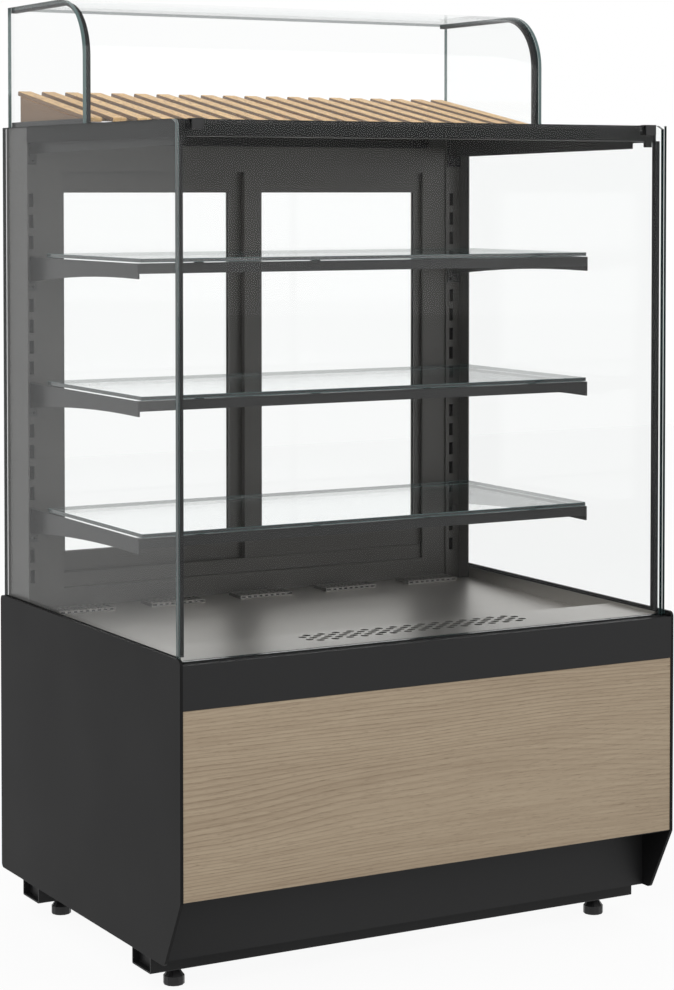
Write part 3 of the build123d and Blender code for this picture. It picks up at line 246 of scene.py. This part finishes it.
def oakLaminate(name, s):
    # flat-sawn oak with its grain along X: near level lines, bent by a long soft noise
    material, place = startMaterial(name)
    wander = place.stretched(*s["wander"]).noise(1.0, 3.0, 0.55)
    field = place.stretched(*s["stretch"], s["shift"]).noise(1.0, 1.4, 0.40)
    ring = (place.split()[2] * s["lines"] + field * s["bend"] + wander * s["wanderBend"]).maths("FRACT")
    late = ring.above(*s["late"]) * (1 - ring.above(*s["lateEnd"]))  # each line darkens slowly and ends sharply
    fine = place.stretched(*s["fine"]).noise(1.0, 4.0, 0.65)
    pores = place.stretched(*s["pores"]).noise(1.0, 1.0).above(*s["poreRange"])
    dashes = place.stretched(*s["dashes"]).noise(1.0, 2.0).above(*s["dashRange"])
    tone = place.stretched(*s["tone"]).noise(1.0, 3.0)
    patches = place.stretched(*s["patches"], s["patchShift"]).noise(1.0, 2.0).above(*s["patchRange"])
    ground = (tone * (1 - s["fineShare"]) + fine * s["fineShare"]).above(*s["toneRange"])
    base = ground.blend(s["mid"], s["light"])
    lined = (late * (patches * s["lineDepth"] + s["lineLeast"])).blend(base, s["line"])
    marked = (pores * s["poreDepth"] + dashes * late * s["poreDepth"]).blend(lined, s["pore"])
    height = fine * 0.5 - late * 0.4 - pores * 0.5
    return endMaterial(material, principled(place, {
        "Base Color": marked, "Roughness": late * s["lateRough"] + pores * s["poreRough"] + s["rough"],
        "Normal": bump(place, height, s["relief"], s["reliefDepth"])}))


# side is the darker brown painted on the sides of the slats and boards as painted shade
rack = {"light": rgb(246, 203, 134), "mid": rgb(226, 178, 106), "line": rgb(172, 122, 64), "side": rgb(92, 60, 30),
        "across": 46, "along": 3.4, "acrossOwn": 31, "alongOwn": 17, "rings": 9.0, "fibre": (900, 16, 900),
        "ownShare": 0.7, "late": (0.30, 0.95), "lateEnd": (0.95, 1.0), "lineDepth": 0.55, "fibreDepth": 0.12,
        "sideShadeRange": (0.4, 0.8), "sideShadeDepth": 0.9, "rough": 0.44, "fibreRough": 0.12, "relief": 0.10,
        "reliefDepth": 0.0002, "pitch": 0.0432, "count": 20, "width": 0.025, "thick": 0.008, "edge": 0.0018,
        "front": 0.388, "rear": 0.684, "low": 1.337, "high": 1.3885, "cheek": 0.015, "cheekFront": 0.410,
        "cheekRear": 0.672, "batten": 0.030, "battens": (0.440, 0.632), "battenThick": 0.006}


def rackWood(name, s):
    # oiled solid wood with its grain along Y, and a tone of its own for each slat; the sides of the slats and
    # boards are darkened as painted shade
    material, place = startMaterial(name)
    x, y, z = place.split()
    slat = (x / s["pitch"] + s["count"] / 2).maths("FLOOR")
    own = place.put("ShaderNodeTexWhiteNoise", {"noise_dimensions": "1D"}, {"W": slat})
    moved = place.put("ShaderNodeCombineXYZ", None, {
        0: x * s["across"] + own * s["acrossOwn"], 1: y * s["along"] + own * s["alongOwn"], 2: z * s["across"]})
    rings = (moved.noise(1.0, 2.0, 0.5, 0.5) * s["rings"]).maths("FRACT")
    late = rings.above(*s["late"]) * (1 - rings.above(*s["lateEnd"]))
    fibre = place.stretched(*s["fibre"]).noise(1.0, 3.0)
    base = (own * s["ownShare"] + fibre * (1 - s["ownShare"])).blend(s["mid"], s["light"])
    grained = (late * s["lineDepth"] + fibre * s["fibreDepth"]).blend(base, s["line"])
    # the sides of the slats get the side brown: painted shade between the slats
    turned = abs(place.beside("Normal").split()[0]).above(*s["sideShadeRange"])  # 1 on the sides of the slats
    return endMaterial(material, principled(place, {
        "Base Color": (turned * s["sideShadeDepth"]).blend(grained, s["side"]),
        "Roughness": fibre * s["fibreRough"] + s["rough"],
        "Normal": bump(place, fibre + late, s["relief"], s["reliefDepth"])}))


glass = {"edgeDark": rgb(14, 27, 29), "edgeLight": rgb(78, 100, 99), "edgeShaded": rgb(26, 30, 30),
         "tint": (0.985, 0.988, 0.987, 1.0), "mirror": (0.97, 0.98, 0.98, 1.0), "least": 0.04, "curve": 5.0,
         "smudge": 11.0, "smudgeRough": 0.02, "face": (0.45, 0.55), "streak": (3, 3, 14), "centreShare": 0.8,
         "streakShare": 0.5, "band": (0.22, 0.70), "edgeRough": 0.12, "edgeSwing": 0.1, "edgeCoat": 0.3,
         "shade": 0.02, "shadeFade": 0.004}
bentGlass = {"tint": (0.987, 0.990, 0.989, 1.0), "edge": rgb(24, 52, 52), "edgeRough": 0.15, "rim": 0.0008,
             "rimFull": 0.0002, "cloud": 20.0, "shine": 0.45}


def seeThrough(place, shine, tint):
    # a pane's faces: clear, with a mirror that is faint square on and grows towards edge on
    turned = place.put("ShaderNodeLayerWeight", None, {"Blend": 0.5}, "Facing")
    mirror = turned ** glass["curve"] * (1 - glass["least"]) + glass["least"]
    smudge = place.noise(glass["smudge"], 3.0) * glass["smudgeRough"]
    gloss = place.put("ShaderNodeBsdfAnisotropic", None, {"Color": glass["mirror"], "Roughness": smudge})
    clear = place.put("ShaderNodeBsdfTransparent", None, {"Color": tint})
    return place.put("ShaderNodeMixShader", None, {0: mirror * shine, 1: clear, 2: gloss})


def flatPane(node, axis, shine):
    # float glass with ground green edges, darker across the middle of each edge and lighter towards its faces as
    # painted light and shade; a side glass has a painted shadow on its edge where it stands against its post
    low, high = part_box(node)
    material, place = startMaterial(node + "Clear")
    flat = abs(place.beside("Normal").split()[axis]).above(*glass["face"])
    across = (place.split()[axis] - low[axis]) / (high[axis] - low[axis])
    streak = place.stretched(*glass["streak"]).noise(1.0, 2.0)
    centre = 1 - abs(across - 0.5) * 2
    # the edge keeps the glass's green; its dark middle and lighter sides are painted light and shade
    band = (centre * glass["centreShare"] + streak * glass["streakShare"]).above(*glass["band"])
    colour = band.blend(glass["edgeLight"], glass["edgeDark"])
    # the rear strip of a side glass edge, against its post, gets edgeShaded as a painted shadow
    if node.startswith("side_glass"):
        shaded = high[1] - glass["shade"]
        colour = place.split()[1].above(shaded, shaded + glass["shadeFade"]).blend(colour, glass["edgeShaded"])
    edge = principled(place, {"Base Color": colour, "Coat Weight": band * glass["edgeCoat"],
                              "Roughness": streak * glass["edgeSwing"] + glass["edgeRough"]})
    pane = seeThrough(place, shine, glass["tint"])
    return endMaterial(material, place.put("ShaderNodeMixShader", None, {0: flat, 1: edge, 2: pane}))


def bentPane(node, s):
    # the bent pane is curved, so its edges are told by where they are
    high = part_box(node)[1]
    material, place = startMaterial("domeBentClear")
    ends = abs(place.beside("Normal").split()[0]).above(*glass["face"])
    rear = place.split()[1].above(high[1] - s["rim"], high[1] - s["rimFull"])
    rough = place.noise(s["cloud"]) * glass["edgeSwing"] + s["edgeRough"]
    edge = principled(place, {"Base Color": s["edge"], "Roughness": rough})
    pane = seeThrough(place, s["shine"], s["tint"])
    rim = ends.maths("MAXIMUM", rear)
    return endMaterial(material, place.put("ShaderNodeMixShader", None, {0: rim, 1: pane, 2: edge}))


fins = {"tone": (0.62, 0.63, 0.64, 1.0), "pitch": 0.0025, "gap": (0.30, 0.55), "dark": 0.25, "metal": 0.7,
        "cloud": 60.0, "rough": 0.35, "roughSwing": 0.15, "relief": 0.4, "reliefDepth": 0.0005}


def finned(name, s):
    # aluminium fin block: thin bright edges, with the gaps between them darkened as painted shade
    material, place = startMaterial(name)
    # gap is 1 between the fins, which are painted darker there as painted shade
    gap = (place.split()[0] / s["pitch"]).maths("FRACT").above(*s["gap"])
    return endMaterial(material, principled(place, {
        "Base Color": gap.blend(s["tone"], scaled(s["tone"], s["dark"])), "Metallic": s["metal"],
        "Roughness": place.noise(s["cloud"], 2.0) * s["roughSwing"] + s["rough"],
        "Normal": bump(place, gap, s["relief"], s["reliefDepth"])}))


print("materials: making")
darkPaint = powderCoat("darkPaint", (0.0085, 0.0086, 0.0089, 1.0), 0.46, 0.2)
# sidePaint and frontPaint are copies of darkPaint with darker tones matched to how the light falls on the side
# panels and on the front: painted shade
sidePaint = powderCoat("sidePaint", (0.0062, 0.0062, 0.0064, 1.0), 0.5, 0.10)
frontPaint = powderCoat("frontPaint", (0.0075, 0.0076, 0.0080, 1.0), 0.5, 0.28)
# the beam's copy of the dark paint is darker still: painted shade
beamShadePaint = powderCoat("beamShadePaint", (0.0045, 0.0045, 0.0047, 1.0), 0.5, 0.18)
oakFront = oakLaminate("oakLaminate", oak)
slatWood = rackWood("rackWood", rack)
steelDeck = brushedSteel("stainless", (0.425, 0.407, 0.384, 1.0), 0.34, (3, 260, 260))
ventSteel = brushedSteel("ventSteel", (0.24, 0.232, 0.222, 1.0), 0.45, (60, 260, 260))
darkProfile = anodised("darkProfile", (0.044, 0.042, 0.039, 1.0))
shelfMetal = anodised("shelfMetal", (0.016, 0.016, 0.016, 1.0))
blackSeal = moulded("blackSeal", (0.006, 0.006, 0.0065, 1.0), 0.62)
blackPlastic = moulded("blackPlastic", (0.008, 0.008, 0.0085, 1.0), 0.42)
enamel = moulded("enamel", (0.010, 0.010, 0.011, 1.0), 0.25, 200.0)
foam = tubSkin("foam", tub)
zinc = brushedSteel("zinc", (0.42, 0.43, 0.44, 1.0), 0.42, (60, 60, 60))
copper = brushedSteel("copper", (0.72, 0.36, 0.22, 1.0), 0.3, (200, 200, 200))
plated = brushedSteel("plated", (0.55, 0.55, 0.54, 1.0), 0.25, (300, 300, 300))
coilFins = finned("coilFins", fins)

finishes = {
    sidePaint: ["side_panel_left", "side_panel_right"],
    darkPaint: ["underframe", "roof_panel", "canopy_arms", "rear_service_panel", "control_panel"],
    frontPaint: ["front_fascia", "plinth_panel"],
    beamShadePaint: ["front_beam"],
    oakFront: ["wood_front_panel"],
    darkProfile: ["rear_frame", "rear_door_left", "rear_door_right", "door_tracks", "rear_post_left",
                  "rear_post_right"],
    shelfMetal: ["shelf_frame_1", "shelf_frame_2", "shelf_frame_3"],
    blackSeal: ["glass_seals", "shelf_pads", "dome_trims"],
    blackPlastic: ["foot_front_left", "foot_front_right", "foot_rear_left", "foot_rear_right", "controller",
                   "switch_bezels", "power_inlet", "light_switch", "power_switch", "front_glass_clamps",
                   "condenser_fan", "evaporator_fan"],
    enamel: ["compressor", "fan_shroud"],
    foam: ["insulated_tub"],
    zinc: ["base_tray"],
    copper: ["refrigerant_lines"],
    plated: ["hinge_brackets", "panel_screws"],
    coilFins: ["condenser_coil", "evaporator_coil"],
}
panes = {  # node: axis through the pane, how strongly it mirrors
    "front_glass": (1, 0.10), "side_glass_left": (0, 0.37), "side_glass_right": (0, 0.3),
    "shelf_glass_1": (2, 0.75), "shelf_glass_2": (2, 0.75), "shelf_glass_3": (2, 0.75),
    "rear_door_left_glass": (1, 0.2), "rear_door_right_glass": (1, 0.2), "dome_side_glasses": (0, 0.4),
}


def dress(name, material):
    mesh = nodes[name].data
    if not mesh.materials:
        mesh.materials.append(material)
    for index in range(len(mesh.materials)):
        mesh.materials[index] = material


for material, names in finishes.items():
    for name in names:
        dress(name, material)
for name, (axis, shine) in panes.items():
    dress(name, flatPane(name, axis, shine))
dress("dome_bent_glass", bentPane("dome_bent_glass", bentGlass))
print("materials: done")


def finishPiece(mesh, name, body, material):
    data = bpy.data.meshes.new(name)
    bmesh.ops.recalc_face_normals(mesh, faces=mesh.faces)
    mesh.to_mesh(data)
    mesh.free()
    piece = bpy.data.objects.new(name, data)
    scene.collection.objects.link(piece)
    data.materials.append(material)
    for face in data.polygons:
        face.use_smooth = False
    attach(piece, body)
    return piece


def addBox(mesh, low, high, bevel=0.0):
    made = bmesh.ops.create_cube(mesh, size=1.0)
    size = [h - l for l, h in zip(low, high)]
    bmesh.ops.scale(mesh, vec=size, verts=made["verts"])
    bmesh.ops.translate(mesh, vec=[(l + h) / 2 for l, h in zip(low, high)], verts=made["verts"])
    if bevel:
        edges = list({edge for vert in made["verts"] for edge in vert.link_edges})
        bmesh.ops.bevel(mesh, geom=edges, offset=bevel, segments=2, profile=0.5, affect="EDGES", material=-1)


def addSlab(mesh, x0, x1, near, far, low, high, bevel=0.0):  # a box with its depths counted from the case's front
    addBox(mesh, (min(x0, x1), frontFace + near, low), (max(x0, x1), frontFace + far, high), bevel)


def holedSheet(mesh, outline, holes, thick):
    # a flat sheet with holes in it, from loops of corners, grown downwards
    edges = []
    for loop in [outline] + holes:
        verts = [mesh.verts.new(corner) for corner in loop]
        edges += [mesh.edges.new((verts[i - 1], verts[i])) for i in range(len(verts))]
    filled = bmesh.ops.triangle_fill(mesh, use_beauty=True, edges=edges)
    faces = [item for item in filled["geom"] if isinstance(item, bmesh.types.BMFace)]
    grown = bmesh.ops.extrude_face_region(mesh, geom=faces)
    moved = [item for item in grown["geom"] if isinstance(item, bmesh.types.BMVert)]
    bmesh.ops.translate(mesh, vec=(0, 0, -thick), verts=moved)


def spread(count, pitch):  # places of a centred row
    return [(index - (count - 1) / 2) * pitch for index in range(count)]


lampBar = {"low": 1.3145, "edge": 0.0015, "inset": 0.008, "width": 0.017, "drop": 0.0004,
           "colour": (1.0, 0.94, 0.86, 1.0), "strength": 9.0, "lens": (0.8, 0.8, 0.8, 1.0), "rough": 0.4,
           "pitch": 0.016, "spot": 0.25}


def glow(name, s):
    # the milky lens of the lamp, with a row of soft hot spots
    material, place = startMaterial(name)
    spots = abs((place.split()[0] / s["pitch"]).maths("FRACT") - 0.5) * 2
    return endMaterial(material, principled(place, {
        "Base Color": s["lens"], "Roughness": s["rough"], "Emission Strength": s["strength"],
        "Emission Color": (spots * s["spot"]).blend(s["colour"], (1.0, 1.0, 1.0, 1.0))}))


def makeLamp(s):
    low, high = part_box("led_lamp")
    body = bmesh.new()
    addBox(body, (low[0], low[1], s["low"]), high, s["edge"])
    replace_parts(finishPiece(body, "lamp_bar", "case", darkPaint), "led_lamp")
    middle = (low[1] + high[1]) / 2
    lens = bmesh.new()
    addBox(lens, (low[0] + s["inset"], middle - s["width"] / 2, s["low"] - s["drop"]),
           (high[0] - s["inset"], middle + s["width"] / 2, s["low"] + s["drop"]))
    finishPiece(lens, "led_lens", "case", glow("ledGlow", s))


deck = {"half": 0.437, "postHalf": 0.406, "foot": 0.497, "strip": 0.032, "stripTop": 0.520, "stripSheet": 0.0005,
        "step": 0.160, "floor": 0.4985, "fall": 0.008, "rear": 0.606, "tongue": 0.645, "sheet": 0.0015,
        "wallTop": 0.524, "hole": 0.0072, "pitch": 0.0264, "rowPitch": 0.0117, "firstRow": 0.090, "rows": 5,
        "columns": 15, "offset": 0.0215}
vents = {"count": 5, "pitch": 0.171, "width": 0.102, "near": 0.582, "depth": 0.046, "rise": 0.006, "slots": 9,
         "slot": 0.0065, "wall": 0.0012, "margin": 0.003, "lip": 0.0016, "shadeSheetSetback": 0.003}


def floorLevel(back):  # height of the deck floor, which falls from the rear to the front
    return deck["floor"] + deck["fall"] * (back - deck["step"]) / (deck["tongue"] - deck["step"])


def rectangle(centre, width, near, far, level):
    left, right = centre - width / 2, centre + width / 2
    return [(left, frontFace + near, level(near)), (right, frontFace + near, level(near)),
            (right, frontFace + far, level(far)), (left, frontFace + far, level(far))]


def hexagon(x, y, size, level):
    corners = [math.pi * k / 3 for k in range(6)]
    return [(x + size * math.cos(turn), y + size * math.sin(turn), level) for turn in corners]


def makeDeck(s, v):
    mesh = bmesh.new()
    stripHoles = []
    for row in range(s["rows"]):
        y = frontFace + s["firstRow"] + row * s["rowPitch"]
        for x in spread(s["columns"] + row % 2, s["pitch"]):
            stripHoles.append(hexagon(s["offset"] + x, y, s["hole"], s["stripTop"]))
    strip = rectangle(0, 2 * s["half"], s["strip"], s["step"], lambda back: s["stripTop"])
    holedSheet(mesh, strip, stripHoles, s["stripSheet"])
    corners = [(-s["half"], s["step"]), (s["half"], s["step"]), (s["half"], s["rear"]), (s["postHalf"], s["rear"]),
               (s["postHalf"], s["tongue"]), (-s["postHalf"], s["tongue"]), (-s["postHalf"], s["rear"]),
               (-s["half"], s["rear"])]
    outline = [(x, frontFace + back, floorLevel(back)) for x, back in corners]
    openings = [rectangle(centre, v["width"] - 2 * v["margin"], v["near"] + v["margin"],
                          v["near"] + v["depth"] - v["margin"], floorLevel)
                for centre in spread(v["count"], v["pitch"])]
    holedSheet(mesh, outline, openings, s["sheet"])
    lowered = s["stripTop"] - s["sheet"]
    addSlab(mesh, -s["half"], s["half"], s["strip"], s["strip"] + s["sheet"], s["foot"], lowered)
    addSlab(mesh, -s["half"], s["half"], s["step"] - s["sheet"], s["step"], s["foot"], lowered)
    for side in (-1, 1):
        addSlab(mesh, side * s["half"], side * (s["half"] - s["sheet"]), s["strip"], s["rear"], s["foot"],
                s["wallTop"])
    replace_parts(finishPiece(mesh, "deck_tray", "case", steelDeck), "deck_plate")


def makeVents(s):
    # low hoods with slots in their tops and ribs in their fronts, and a black sheet behind the ribs as painted
    # shade in the gaps between them
    mesh, ventShadeSheets = bmesh.new(), bmesh.new()
    wall, near, far = s["wall"], s["near"], s["near"] + s["depth"]
    foot = floorLevel(near)
    top = foot + s["rise"]
    under = top - wall / 2
    gap = (s["width"] - 2 * wall) / s["slots"]
    rib = (gap - s["slot"]) / 2
    for centre in spread(s["count"], s["pitch"]):
        slots = [rectangle(centre + x, s["slot"], near + s["margin"], far - s["margin"], lambda back: top)
                 for x in spread(s["slots"], gap)]
        holedSheet(mesh, rectangle(centre, s["width"], near, far, lambda back: top), slots, wall)
        left, right = centre - s["width"] / 2, centre + s["width"] / 2
        addSlab(mesh, left, right, near, near + wall, foot, foot + s["lip"])
        addSlab(mesh, left, right, far - wall, far, foot, under)
        addSlab(mesh, left, left + wall, near, far, foot, under)
        addSlab(mesh, right - wall, right, near, far, foot, under)
        for x in spread(s["slots"] - 1, gap):
            addSlab(mesh, centre + x - rib, centre + x + rib, near, near + wall, foot, under)
        # the black sheet behind the ribs is painted shade inside the hood
        behind = near + s["shadeSheetSetback"]
        addSlab(ventShadeSheets, left + 2 * wall, right - 2 * wall, behind, behind + wall, foot, top - 2 * wall)
    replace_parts(finishPiece(mesh, "vent_hoods", "case", ventSteel), "rear_air_vents")
    finishPiece(ventShadeSheets, "vent_shade_sheets", "case", blackPlastic)


domeFloor = {"half": 0.4317, "front": 0.384, "rear": 0.690, "low": 1.326, "sheet": 0.003, "rim": 0.005,
             "rimTop": 1.335, "sunk": 0.0005, "edge": 0.0006}
beamFoot = {"outer": 0.430, "width": 0.013, "near": 0.038, "depth": 0.006, "low": 1.2905, "high": 1.3015,
            "edge": 0.0006}


def underSlats(s, back):  # height of the underside of the slats
    slope = (s["high"] - s["low"]) / (s["rear"] - s["front"])
    return s["low"] - s["thick"] + slope * (back - s["front"])


def rakedBoard(mesh, x0, x1, near, far, s, thick=None):
    # a board whose top follows the slats' slope; without a thickness it stands on the dome floor
    for vert in bmesh.ops.create_cube(mesh, size=1.0)["verts"]:
        back = far if vert.co.y > 0 else near
        top = underSlats(s, back)
        bottom = domeFloor["low"] + domeFloor["sheet"] if thick is None else top - thick
        vert.co = (x1 if vert.co.x > 0 else x0, frontFace + back, top if vert.co.z > 0 else bottom)


def makeSlats(s):
    mesh = bmesh.new()
    rise = math.atan2(s["high"] - s["low"], s["rear"] - s["front"])
    length = (s["rear"] - s["front"]) / math.cos(rise)
    turn = Matrix.Rotation(rise, 3, "X")
    for middle in spread(s["count"], s["pitch"]):
        before = set(mesh.verts)
        addSlab(mesh, middle - s["width"] / 2, middle + s["width"] / 2, s["front"], s["front"] + length,
                s["low"] - s["thick"], s["low"], s["edge"])
        bmesh.ops.rotate(mesh, cent=(middle, frontFace + s["front"], s["low"]), matrix=turn,
                         verts=[vert for vert in mesh.verts if vert not in before])
    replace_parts(finishPiece(mesh, "rack_boards", "case", slatWood), "rack_slats")


def makeCheeks(s):
    mesh = bmesh.new()
    half = s["cheek"] / 2
    reach = (s["count"] - 1) / 2 * s["pitch"] + s["width"] / 2 - half
    for middle in (-reach, 0, reach):
        rakedBoard(mesh, middle - half, middle + half, s["cheekFront"], s["cheekRear"], s)
    for back in s["battens"]:
        rakedBoard(mesh, -reach, reach, back, back + s["batten"], s, s["battenThick"])
    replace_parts(finishPiece(mesh, "rack_cheeks", "case", slatWood), "rack_frame")


def makeDomeFloor(s):
    mesh = bmesh.new()
    top = s["low"] + s["sheet"]
    addSlab(mesh, -s["half"], s["half"], s["front"], s["rear"], s["low"], top)
    for side in (-1, 1):
        addSlab(mesh, side * s["half"], side * (s["half"] - s["rim"]), s["front"], s["rear"], top - s["sunk"],
                s["rimTop"], s["edge"])
    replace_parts(finishPiece(mesh, "dome_floor", "case", darkPaint), "dome_base")


def makeBeamFeet(s):
    mesh = bmesh.new()
    for side in (-1, 1):
        addSlab(mesh, side * s["outer"], side * (s["outer"] - s["width"]), s["near"], s["near"] + s["depth"],
                s["low"], s["high"], s["edge"])
    finishPiece(mesh, "beam_feet", "case", beamShadePaint)


makeLamp(lampBar)
makeDeck(deck, vents)
makeVents(vents)
makeSlats(rack)
makeCheeks(rack)
makeDomeFloor(domeFloor)
makeBeamFeet(beamFoot)
print("pieces: done")

stage = {"floor": 14.0, "whiteness": 0.93, "world": 0.75, "matt": (0.9, 0.9, 0.9, 1.0),
         "white": (1.0, 1.0, 1.0, 1.0), "bounces": 10, "clearBounces": 32}


def seenDirectly(rays):  # 1 for what the camera sees, also in a mirror or through glass
    seen = rays.beside("Is Camera Ray").maths("MAXIMUM", rays.beside("Is Glossy Ray"))
    return seen.maths("MAXIMUM", rays.beside("Is Transmission Ray"))


def makeFloor(s):
    mesh = bmesh.new()
    bmesh.ops.create_grid(mesh, x_segments=1, y_segments=1, size=s["floor"] / 2)
    data = bpy.data.meshes.new("floor")
    mesh.to_mesh(data)
    mesh.free()
    floor = bpy.data.objects.new("floor", data)
    scene.collection.objects.link(floor)
    material, place = startMaterial("floorWhite")
    seen = seenDirectly(place.put("ShaderNodeLightPath"))
    matt = place.put("ShaderNodeBsdfDiffuse", None, {"Color": s["matt"]})
    white = place.put("ShaderNodeEmission", None, {"Color": s["white"], "Strength": 1.0})
    mixed = place.put("ShaderNodeMixShader", None, {0: seen * s["whiteness"], 1: matt, 2: white})
    data.materials.append(endMaterial(material, mixed))


def makeWorld(s):
    world = bpy.data.worlds.new("studio")
    world.use_nodes = True
    world.node_tree.nodes.clear()
    seen = seenDirectly(Wire(world.node_tree).put("ShaderNodeLightPath"))
    strength = seen * (1.0 - s["world"]) + s["world"]
    sky = seen.put("ShaderNodeBackground", None, {"Color": s["white"], "Strength": strength})
    sky.put("ShaderNodeOutputWorld", None, {"Surface": sky})
    scene.world = world


lamps = {  # place, aim, size, power
    "keyLeft": ((-3.4, -2.6, 3.0), (0, 0, 0.8), 2.2, 60),
    "fillFront": ((1.8, -4.2, 2.0), (0, 0, 0.7), 2.5, 30),
}


def makeLamps(s):
    for name, (place, aim, size, power) in s.items():
        data = bpy.data.lights.new(name, "AREA")
        data.shape, data.size, data.energy = "SQUARE", size, power
        lamp = bpy.data.objects.new(name, data)
        lamp.location = place
        lamp.rotation_euler = (Vector(aim) - Vector(place)).to_track_quat("-Z", "Y").to_euler()
        scene.collection.objects.link(lamp)


view = {"place": (-2.0696, -3.7118, 1.2199), "down": 2.0388, "turn": -29.2964, "lens": 92.515, "sensor": 36.0,
        "shift": -0.2162, "clipNear": 0.1, "clipFar": 60.0}


def makeCamera(s):
    data = bpy.data.cameras.new("camera")
    data.lens, data.sensor_width, data.shift_y = s["lens"], s["sensor"], s["shift"]
    data.clip_start, data.clip_end = s["clipNear"], s["clipFar"]
    camera = bpy.data.objects.new("camera", data)
    camera.location = s["place"]
    camera.rotation_euler = (math.radians(90 - s["down"]), 0.0, math.radians(s["turn"]))
    scene.collection.objects.link(camera)
    scene.camera = camera


makeFloor(stage)
makeWorld(stage)
makeLamps(lamps)
makeCamera(view)
scene.view_settings.view_transform = "Standard"
scene.cycles.transparent_max_bounces = stage["clearBounces"]
scene.cycles.max_bounces = stage["bounces"]
print("stage: done")
